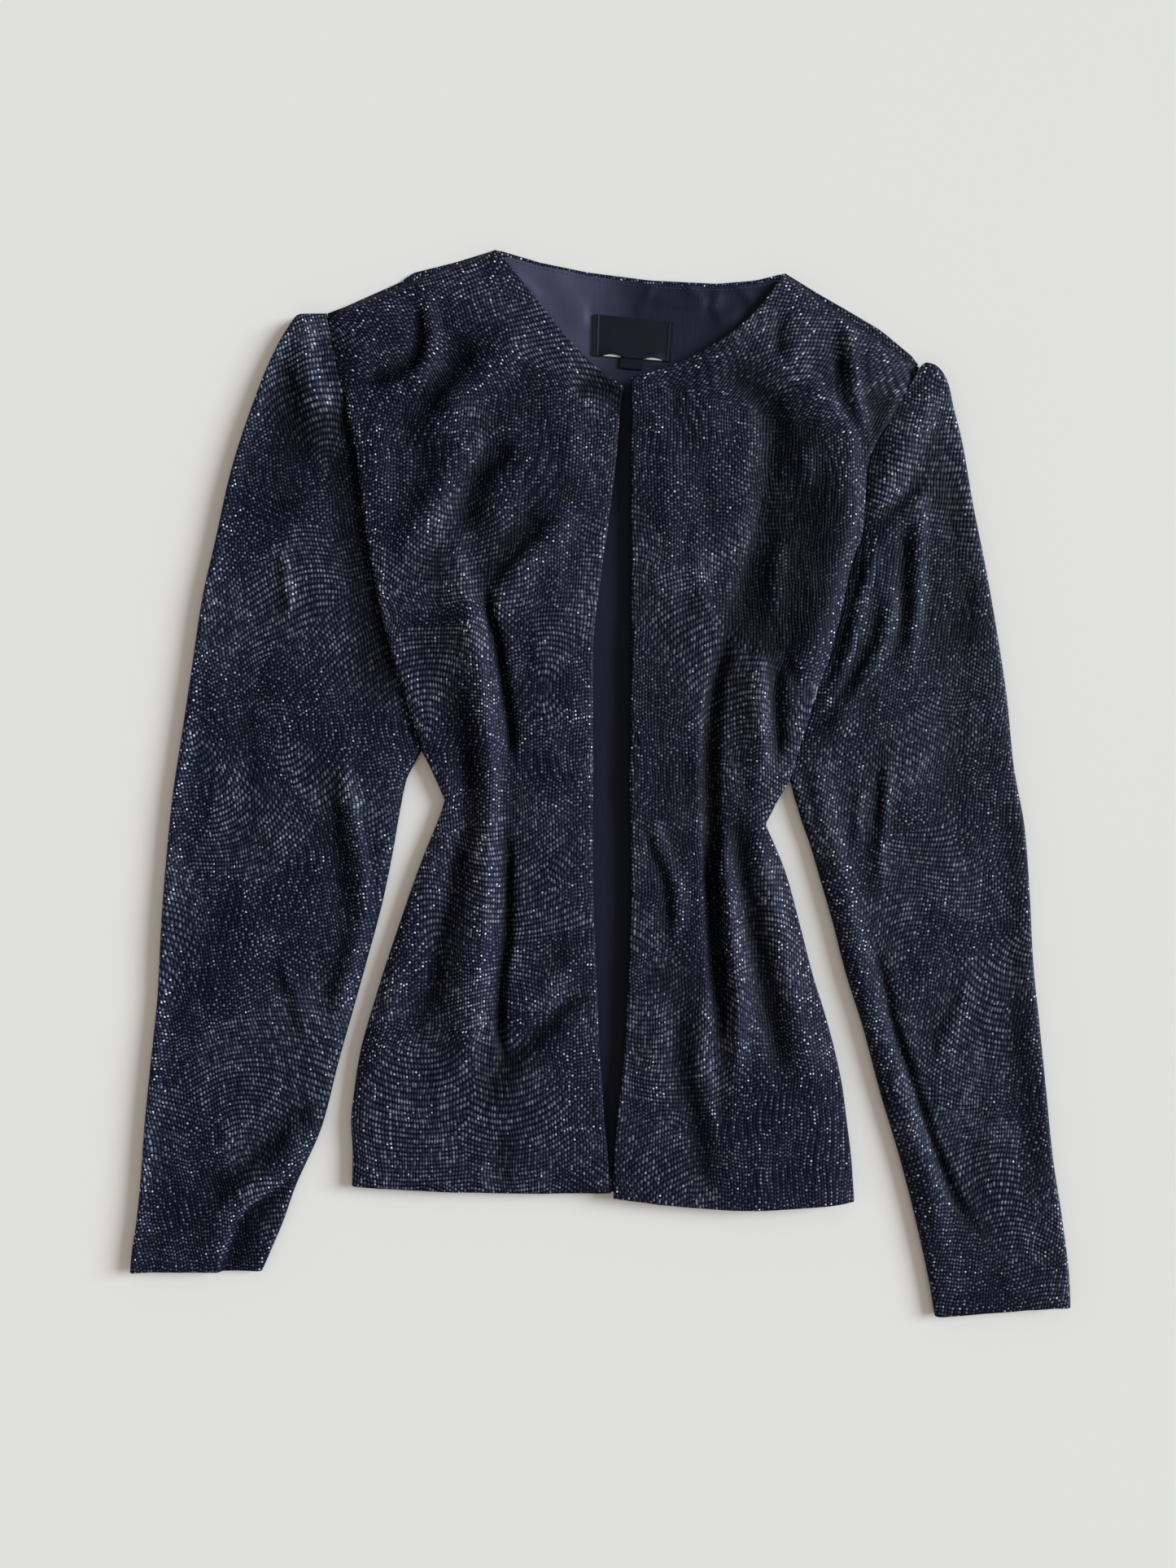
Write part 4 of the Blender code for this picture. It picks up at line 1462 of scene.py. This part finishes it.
LEFT_SLEEVE = tuple(Ring(*row) for row in (
    (289, -321.5, 206, -328.5), (288.5, -308, 202.5, -308), (284, -269, 194, -269),
    (278, -229, 184, -230), (274, -189, 172, -190), (270, -149, 162, -152), (266, -109, 151, -117),
    (264, -69, 143, -86), (261, -29, 135.5, -60), (254, 11, 129, -38), (250, 51, 124, -24),
    (244, 91, 121, -14), (237, 131, 119.2, -8.5), (229, 171, 118.5, -5), (222, 211, 117.9, -2.6),
    (217, 231, 117.5, -1.2), (213, 247.5, 117.2, -0.2), (205, 257.2, 117, 0.4), (200, 258.3, 116.9, 0.8),
))
TOP_EDGE = (
    (-168, 288.5), (-149, 297), (-123, 308.5), (-116, 314), (-88, 321), (-64, 328.5), (-37, 320.5),
    (-8, 314.5), (31, 309.5), (72, 307.5), (96, 309.5), (114, 314), (135, 301), (152.5, 291),
    (173.5, 278.5), (192, 263.0), (196.5, 257.2),
)
CUFF_FOLD = (
    (-185, -240), (-218, -263), (-232, -296), (-232, -310),
)
UNDERSTITCH = (
    (-58, 322.2), (-37, 316.2), (-8, 310.2), (31, 305.2), (72, 303.1), (94, 304.9), (109, 308.2),
)
VIOLET_CAST = {"ground": (0.0026, 0.0033, 0.0185, 1), "dash": (0.196, 0.207, 0.273, 1)}

# Creases: height, width to the left and to the right of the path, and the path's points

RIGHT_FRONT_CREASES = Crease.table(
    (4.6, 6, 12, (-85, 160), (-87, 138), (-82, 115), (-77, 90), (-73, 62), (-69, 30), (-67, 0), (-69, -30),
     (-70, -60), (-72, -100), (-78, -140), (-82, -168), (-86, -198)),
    (-6.5, 3.2, 2.6, (-71, 122), (-67, 100), (-62, 78), (-58, 51), (-55, 30), (-56, 12)),
    (-5.0, 3.4, 2.6, (-57, -22), (-56.5, -60), (-57.5, -98), (-61, -122), (-62, -150), (-58, -176)),
    (-2.4, 8, 8, (-86, 70), (-85, 30), (-82, 5), (-80, -20), (-85, -42), (-92, -65), (-98, -95),
     (-104, -125), (-114, -150), (-122, -176)),
    (2.8, 12, 10, (-44, 284), (-56, 266), (-68, 249), (-82, 234), (-96, 216), (-110, 198)),
    (-1.8, 7, 7, (-78, 272), (-90, 254), (-102, 236), (-114, 222)),
    (2.6, 5, 5, (-108, 306), (-104, 282), (-104, 263), (-109, 250), (-122, 243)),
    (-1.8, 4, 6, (-112, 300), (-110, 276), (-114, 258), (-132, 248), (-152, 244)),
    (3.0, 9, 9, (-72, 216), (-84, 202), (-94, 188), (-101, 171), (-112, 152), (-126, 138)),
    (-2.6, 8, 7, (-50, 207), (-64, 200), (-75, 187), (-81, 168), (-78, 150)),
    (1.6, 11, 10, (-32, 200), (-50, 184), (-60, 166), (-58, 152)),
    (3.0, 9, 8, (-12, 168), (-26, 154), (-46, 132), (-62, 108), (-68, 92)),
    (-1.6, 8, 8, (-30, 168), (-44, 150), (-62, 132), (-74, 120)),
    (1.2, 8, 8, (-6, 214), (-26, 196), (-42, 188)),
    (-1.6, 6, 7, (-20, 236), (-4, 243), (7, 238), (9, 222)),
    (-2.0, 7, 8, (-10, -128), (-20, -137), (-36, -152), (-52, -168), (-64, -186), (-78, -208)),
    (1.9, 6, 7, (-2, -100), (-12, -110), (-27, -125), (-43, -143), (-56, -160)),
    (1.6, 6, 7, (-84, -166), (-92, -182), (-102, -204)),
    (1.0, 7, 9, (-6, 48), (-22, 34), (-44, 12)),
    (1.0, 7, 9, (0, 8), (-20, -10), (-46, -34)),
    (0.9, 7, 9, (0, -40), (-22, -60), (-44, -82)),
    (0.9, 6, 8, (-8, 118), (-26, 96), (-46, 74)),
    (-1.2, 8, 8, (-64, -214), (-58, -228), (-60, -246)),
    (1.4, 9, 10, (-134, 226), (-136, 196), (-128, 160)),
    (1.6, 8, 9, (-112, -60), (-122, -100), (-134, -150), (-140, -200)),
)
LEFT_FRONT_CREASES = Crease.table(
    (3.4, 5, 20, (118, 284), (121, 262), (126, 246), (137, 233), (146, 220), (153, 204), (156, 184),
     (154, 160), (151, 142), (144, 120), (140, 98), (136, 78), (130, 57), (121, 36), (112, 16)),
    (-2.8, 12, 8, (66, 258), (86, 246), (100, 228), (104, 207), (101, 184), (98, 160), (92, 132), (83, 107),
     (75, 80)),
    (-6.2, 5, 4, (84, 104), (74, 76), (69, 50), (67, 26), (66.5, 0), (67, -40), (68.5, -80), (70.5, -110),
     (72.5, -140), (73, -174)),
    (1.0, 5, 5, (112, 160), (109, 136), (107, 112), (103, 96)),
    (0.9, 5, 5, (125, 210), (127, 192), (126, 174)),
    (3.2, 6, 8, (98, 84), (97, 62), (97, 40), (98, 15), (95, -8)),
    (-2.6, 4, 5, (110, 78), (107, 56), (108, 34), (109, 12)),
    (-1.2, 4, 4, (112, 84), (115, 70), (124, 54)),
    (4.2, 7, 4, (76, -26), (75, -50), (78, -80), (81, -110), (83.5, -140), (83, -166), (79, -200)),
    (-2.2, 8, 6, (86, -6), (84, -30), (87, -60), (93, -90), (97, -110), (101, -135), (107, -162),
     (112, -190)),
    (2.6, 8, 9, (96, -30), (99, -48), (105, -74), (111, -102), (117, -132), (126, -170), (130, -200)),
    (1.9, 4, 9, (65, -122), (63, -146), (63, -170), (67, -196), (72, -222)),
    (-1.6, 7, 8, (56, -134), (50, -164), (56, -198), (62, -228), (64, -250)),
    (1.5, 5, 4, (30, -18), (37, -38), (45, -58), (48, -78), (45, -104)),
    (-1.0, 4, 4, (25, -20), (34, -48), (41, -72), (39, -100)),
    (1.0, 7, 5, (60, 164), (58, 140), (59, 122), (66, 100)),
    (-2.0, 5, 5, (112, 292), (110, 274), (108, 256)),
    (2.2, 3.4, 6, (150, 290), (152, 270), (154, 252), (158, 230), (163, 206)),
    (-1.8, 6, 6, (143, 284), (146, 262), (150, 240)),
    (-1.6, 9, 9, (178, 244), (174, 226), (169, 206)),
    (1.0, 10, 10, (34, 236), (40, 190), (42, 140), (40, 90)),
    (-1.0, 8, 8, (44, 20), (54, 2), (58, -24)),
    (0.8, 7, 9, (34, -120), (38, -160), (32, -200)),
)
RIGHT_SLEEVE_CREASES = Crease.table(
    (3.4, 5, 10, (-176, 296), (-179, 264), (-174, 242), (-164, 224)),
    (1.3, 3, 3.4, (-169, 292), (-167, 276), (-163, 258)),
    (-1.6, 8, 10, (-188, 274), (-190, 246), (-186, 214), (-178, 190)),
    (-1.5, 12, 14, (-156, 214), (-151, 170), (-146, 124), (-138, 84), (-128, 48)),
    (1.4, 3, 3.2, (-194, 146), (-192, 124), (-189, 98)),
    (2.6, 4, 7, (-158, 26), (-154, 0), (-149, -30), (-144, -62), (-145, -88), (-151, -112), (-158, -142),
     (-166, -168)),
    (-1.2, 7, 8, (-166, 16), (-163, -20), (-158, -56), (-156, -96), (-165, -124), (-170, -152)),
    (1.0, 5, 4, (-196, -106), (-190, -120), (-185, -134), (-179, -152)),
    (-0.7, 4, 5, (-199, -110), (-193, -128), (-186, -150), (-180, -162)),
    (-1.6, 10, 10, (-170, -186), (-188, -206), (-206, -226), (-226, -246), (-240, -262)),
    (3.2, 4, 12, (-172, -212), (-188, -235), (-205, -249), (-223, -263), (-231, -281), (-235, -301)),
    (0.9, 6, 7, (-244, -200), (-254, -224), (-256, -250)),
    (0.9, 9, 10, (-222, 150), (-232, 90), (-236, 30)),
    (-0.8, 10, 10, (-210, 60), (-214, 0), (-222, -60)),
    (0.8, 9, 10, (-226, -40), (-214, -90), (-222, -140)),
)
LEFT_SLEEVE_CREASES = Crease.table(
    (3.0, 9, 9, (206, 246), (198, 228), (186, 207), (177, 184), (169, 162)),
    (2.6, 4, 4, (172, 158), (166, 138), (161, 118), (155, 95), (149, 72), (138, 50), (124, 26)),
    (-2.2, 4, 3, (164, 146), (157, 122), (150, 96), (143, 70), (132, 48)),
    (2.4, 5, 7, (197, 182), (195, 160), (194, 132), (192, 98), (187, 70)),
    (-1.8, 5, 5, (188, 160), (187, 130), (185, 100), (181, 76)),
    (2.0, 6, 6, (178, 126), (175, 98), (166, 72), (150, 48), (140, 34)),
    (-1.6, 5, 6, (172, 118), (168, 92), (156, 66), (143, 42)),
    (1.2, 4, 3.4, (202, 180), (190, 167), (178, 155), (170, 144)),
    (-1.0, 3.4, 4, (200, 186), (186, 174), (172, 158)),
    (2.6, 8, 6, (130, 12), (136, -6), (142, -40), (150, -75), (157, -110), (166, -145), (178, -180),
     (190, -212), (200, -245), (209, -280), (216, -318)),
    (-2.0, 3, 4, (167, -90), (172, -112), (180, -150), (189, -178), (198, -204), (206, -228), (217, -254),
     (234, -284)),
    (0.9, 6, 5, (234, -114), (222, -136), (213, -156), (205, -176)),
    (-0.7, 5, 5, (228, -118), (216, -138), (208, -154), (202, -168)),
    (1.5, 4, 4, (176, 16), (175, -6), (173, -34), (170, -68)),
    (-1.2, 3.4, 3.4, (171, 12), (170, -8), (168, -34)),
    (1.3, 3, 3, (160, -2), (158, -18), (157, -42)),
    (0.9, 9, 10, (226, 150), (232, 90), (236, 20)),
    (-0.8, 9, 10, (214, 60), (218, 0), (222, -60)),
    (0.8, 8, 9, (238, -180), (246, -220), (252, -262)),
    (-0.8, 8, 8, (224, -210), (232, -250), (244, -292)),
)
LINING_CREASES = Crease.table(
    (1.7, 1.6, 5.0, (52, 308), (60, 300), (68.5, 293)),
    (1.3, 4.0, 1.4, (30, 295.6), (48, 293.8), (67, 292.8)),
    (1.5, 1.6, 4.4, (67, 291), (70.5, 297), (73, 304)),
    (1.5, 6.0, 1.8, (78, 307), (88, 301), (94, 292), (95, 281)),
    (1.2, 4.5, 1.6, (67, 293), (72, 288), (74, 280)),
    (1.6, 2.4, 6.0, (-57, 315), (-46, 307), (-36, 298)),
    (1.2, 3.5, 1.6, (33, 308), (29.5, 302), (27, 297)),
    sharp=True) + Crease.table(
    (1.6, 9, 9, (-34, 320), (-18, 298), (-10, 276)),
    (1.5, 9, 10, (75, 293), (84, 276), (86, 258)),
    (-0.8, 8, 9, (2, 312), (10, 300), (27, 290)),
)

# Painted shade, below 0, or painted light, above 0: how much, then as for creases

RIGHT_FRONT_SHADES = PaintedShade.table(
    (0.34, 2.4, 2.4, (14, 246), (8, 190), (0, 124), (-5, 60), (-5, -40), (-4, -100), (1, -180), (7, -256)),
    (-0.40, 1.6, 1.6, (-184, 282.5), (-116, 308.3), (-48, 334)),
    (-0.34, 12, 12, (-58, 284), (-74, 260), (-88, 243), (-103, 224), (-117, 205)),
    (-0.36, 4, 4, (-99, 286), (-107, 268), (-113, 252), (-132, 246), (-154, 241)),
    (-0.40, 6, 6, (-86, 208), (-100, 186), (-106, 178), (-116, 168)),
    (-0.30, 9, 9, (-44, 204), (-64, 192), (-75, 172), (-67, 154), (-52, 148), (-32, 158)),
    (-0.26, 11, 11, (-28, 166), (-41, 148), (-59, 131), (-76, 120)),
    (-0.34, 3, 3, (-90, 152), (-91, 134), (-83, 114)),
    (-0.30, 7, 9, (-84, 74), (-78, 44), (-74, 16), (-74, -20), (-80, -42), (-86, -76), (-90, -120),
     (-98, -142), (-116, -168)),
    (-0.38, 6, 6, (-14, 240), (0, 244), (10, 232)),
    (-0.26, 7, 6, (-16, -140), (-35, -158), (-52, -175), (-62, -190), (-74, -208)),
    (-0.30, 5, 6, (-62, -136), (-62, -160), (-57, -178)),
    (-0.26, 6, 6, (-84, -163), (-92, -180), (-107, -199)),
    (-0.14, 9, 9, (-8, -88), (-22, -110), (-34, -130)),
    (0.26, 5, 5, (-100, 280), (-96, 262), (-100, 248)),
    (0.22, 12, 12, (-20, 278), (-53, 252), (-84, 236)),
    (0.30, 6, 6, (-69, 208), (-82, 194), (-89, 176), (-100, 153), (-121, 128)),
    (0.42, 4, 4, (-79, 160), (-82, 140), (-78, 117), (-72, 89), (-65, 62), (-61, 28), (-61, 0), (-63, -24),
     (-65, -60), (-67, -100), (-72, -140), (-77, -170), (-80, -196)),
    (0.20, 11, 11, (-10, 160), (-39, 130), (-56, 104)),
    (0.26, 6, 6, (-91, 32), (-88, 5), (-87, -25), (-97, -55), (-108, -90), (-113, -120), (-120, -146)),
    (0.22, 11, 11, (-136, 240), (-138, 208), (-130, 174)),
    (0.26, 5, 5, (-14, -120), (-36, -145), (-54, -164)),
    (0.16, 18, 18, (-132, -160), (-132, -200), (-126, -244)),
)
LEFT_FRONT_SHADES = PaintedShade.table(
    (-0.55, 1.6, 1.6, (212, 244.2), (155, 283.9), (98, 323.6)),
    (-0.16, 9, 9, (70, 256), (92, 242), (104, 226), (108, 206), (110, 182)),
    (-0.56, 34, 12, (104, 240), (114, 198), (112, 156), (103, 116), (86, 74)),
    (-0.46, 12, 24, (142, 200), (147, 156), (139, 116), (119, 80), (98, 44)),
    (-0.34, 8, 8, (100, 136), (88, 108), (80, 80), (77, 54), (73, 30), (71, 0), (72, -60), (74, -110),
     (76, -168)),
    (-0.36, 5, 5, (113, 64), (113, 34), (110, 6)),
    (-0.34, 4, 4, (151, 292), (150, 245), (152, 226)),
    (-0.34, 9, 9, (172, 242), (169, 222), (167, 202)),
    (-0.34, 4, 4, (110, 288), (109, 274), (110, 258)),
    (-0.32, 9, 9, (88, 4), (86, -30), (90, -60), (98, -90), (108, -135), (121, -192)),
    (-0.32, 6, 6, (62, -108), (57, -140), (52, -165), (60, -200), (66, -248)),
    (-0.20, 4, 4, (20, -14), (30, -35), (38, -55), (44, -75), (42, -102)),
    (-0.14, 9, 9, (48, 14), (55, -4), (60, -26)),
    (-0.16, 10, 10, (36, 262), (64, 268), (92, 270)),
    (-0.14, 22, 22, (34, 150), (36, 60), (44, -60), (40, -180)),
    (0.60, 3.4, 3.4, (123, 277), (126, 252), (137, 237), (146, 225), (155, 207), (160, 184), (158, 161),
     (155, 143), (148, 120), (144, 98), (142, 80), (137, 57), (128, 34), (117, 14)),
    (0.30, 3, 3, (153, 284), (155, 257), (160, 234), (166, 203)),
    (0.40, 4, 4, (127, 202), (127, 190), (126, 178)),
    (0.36, 4, 4, (111, 148), (108, 120), (104, 100)),
    (0.30, 5, 5, (102, 70), (101, 40), (103, 17), (101, -4)),
    (0.30, 3, 3, (116, 84), (124, 68)),
    (0.34, 6, 6, (76, -34), (80, -60), (84, -80), (88, -110), (92, -140), (88, -170), (83, -200)),
    (0.26, 3, 3, (51, -34), (54, -70), (47, -95), (41, -116)),
    (0.24, 3, 3, (66, -134), (67, -170), (76, -194)),
    (0.22, 9, 9, (104, -54), (115, -100), (128, -140), (136, -170)),
    (0.10, 26, 26, (60, 214), (62, 160), (52, 100)),
)
RIGHT_SLEEVE_SHADES = PaintedShade.table(
    (-0.30, 24, 24, (-194, 262), (-194, 205), (-186, 148)),
    (-0.66, 12, 15, (-163, 240), (-155, 192), (-150, 160), (-144, 132), (-139, 105), (-134, 66),
     (-118, 20)),
    (-0.16, 14, 14, (-190, 290), (-190, 240), (-184, 196)),
    (-0.34, 3, 3, (-196, 138), (-194, 115), (-191, 96)),
    (-0.20, 6, 7, (-160, 19), (-161, -10), (-157, -45), (-150, -75), (-146, -96)),
    (-0.22, 6, 6, (-158, -81), (-157, -105), (-162, -125), (-167, -150)),
    (-0.14, 4, 4, (-198, -112), (-190, -130), (-184, -150), (-179, -161)),
    (-0.30, 9, 9, (-171, -160), (-178, -200), (-195, -222), (-212, -240), (-230, -255), (-239, -272),
     (-238, -294)),
    (-0.46, 5, 4, (-198, -253), (-212, -268), (-220, -282), (-222, -300)),
    (0.34, 4, 4, (-172, 294), (-175, 260), (-168, 240), (-159, 226)),
    (0.30, 3, 3, (-189, 134), (-187, 102)),
    (0.28, 3, 3, (-158, 24), (-150, -10), (-145, -40), (-140, -74)),
    (0.26, 4, 4, (-158, -74), (-148, -98)),
    (0.16, 5, 5, (-182, -116), (-171, -154)),
    (0.40, 3, 3, (-186, -240), (-205, -255), (-222, -268), (-228, -285), (-232, -300)),
    (0.26, 6, 6, (-198, 262), (-211, 228), (-231, 150), (-246, 70), (-258, -10), (-265, -90), (-271, -170),
     (-280, -270), (-283, -300)),
)
LEFT_SLEEVE_SHADES = PaintedShade.table(
    (-0.46, 5, 5, (189, 166), (189, 120), (187, 93), (183, 72)),
    (-0.58, 5, 4, (165, 150), (155, 116), (149, 93), (143, 66)),
    (-0.44, 5, 5, (172, 122), (169, 89), (155, 64), (144, 43), (128, 24)),
    (-0.30, 3, 3, (202, 190), (180, 168), (167, 150)),
    (-0.30, 4, 4, (179, 34), (171, 5), (170, -25), (166, -74)),
    (-0.30, 3, 3, (156, -4), (155, -36)),
    (-0.34, 5, 5, (127, 12), (131, -15), (130, -36)),
    (-0.52, 3, 3, (175, -106), (184, -150), (192, -175), (199, -200), (206, -222), (216, -245), (232, -275),
     (242, -295)),
    (-0.16, 5, 5, (228, -119), (214, -140), (208, -155), (202, -168)),
    (-0.40, 8, 8, (211, 226), (231, 130), (246, 50), (257, -60), (260, -120), (262, -175), (270, -215),
     (276, -250), (280, -304)),
    (0.34, 7, 7, (212, 238), (192, 211), (183, 184), (172, 164)),
    (0.38, 3.5, 3.5, (187, 160), (169, 130), (160, 107), (153, 80), (146, 64), (133, 41), (121, 20)),
    (0.30, 4, 4, (199, 170), (199, 132), (195, 94)),
    (0.30, 4, 4, (183, 124), (180, 98), (173, 71)),
    (0.36, 5, 5, (142, 0), (148, -40), (157, -75), (163, -110), (172, -145), (184, -180), (196, -210),
     (207, -245), (216, -280), (223, -315)),
    (0.26, 3, 3, (232, -127), (213, -167)),
    (-0.26, 15, 14, (214, 218), (220, 160), (227, 100), (236, 36)),
    (0.14, 12, 12, (232, 10), (238, -50), (242, -120)),
)


def main() -> None:
    """Builds the studio and every piece of the jacket."""
    logging.basicConfig(level=logging.INFO, format="%(name)s: %(message)s")
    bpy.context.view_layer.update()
    bpy.ops.object.select_all(action="DESELECT")
    right = Armhole(Side.RIGHT, RIGHT_FRONT, underarm=11, waist=9, neck_corner=18)
    left = Armhole(Side.LEFT, LEFT_FRONT, underarm=12, waist=10, neck_corner=19)
    Back(right, left, GlitterKnit("knit_back", (310, 40))).build()
    lining = BackLining(right, left, LINING_CREASES, SatinLining())
    lining.build()
    NeckLabel(WovenRibbon("label_ribbon", (0.0060, 0.0072, 0.0160, 1), (0.0085, 0.0100, 0.0205, 1)),
              WovenRibbon("label_backing", (0.62, 0.62, 0.60, 1), (0.75, 0.75, 0.73, 1))).build()
    SizeTab(WovenRibbon("tab_ribbon", (0.0045, 0.0055, 0.0125, 1), (0.0070, 0.0082, 0.0175, 1))).build()
    StitchLine("neck_understitch", "satin_lining", Thread("navy_thread", (0.055, 0.060, 0.095, 1)),
               UNDERSTITCH, lining.height).build()
    Front("front_right_shell", "front_right", right, RIGHT_FRONT_CREASES, RIGHT_FRONT_SHADES,
          GlitterKnit("knit_front_right", (0, 0), **VIOLET_CAST), flat=(0.19, 0.60), area=0.085,
          hem_sag=2.0, seed=11, roll_upto=232.0, edge_drop=2.0).build()
    Front("front_left_shell", "front_left", left, LEFT_FRONT_CREASES, LEFT_FRONT_SHADES,
          GlitterKnit("knit_front_left", (417, 133), **VIOLET_CAST), flat=(0.19, 0.60), area=0.085,
          hem_sag=6.0, seed=21, roll_upto=212.0, edge_drop=-0.6).build()
    Sleeve("sleeve_right_shell", "sleeve_right", right, RIGHT_SLEEVE, RIGHT_SLEEVE_CREASES,
           RIGHT_SLEEVE_SHADES, GlitterKnit("knit_sleeve_right", (911, 257)), flat=(0.34, 0.62), area=0.16,
           lean=10.0, seed=31, folded_cuff=True, roll_upto=232.0, rim_width=9.0).build()
    Sleeve("sleeve_left_shell", "sleeve_left", left, LEFT_SLEEVE, LEFT_SLEEVE_CREASES,
           LEFT_SLEEVE_SHADES, GlitterKnit("knit_sleeve_left", (1303, 61)), flat=(0.34, 0.62), area=0.16,
           lean=-9.0, seed=41, folded_cuff=False, roll_upto=212.0, rim_width=13.0).build()
    Studio().build()


if __name__ == "__main__":
    main()
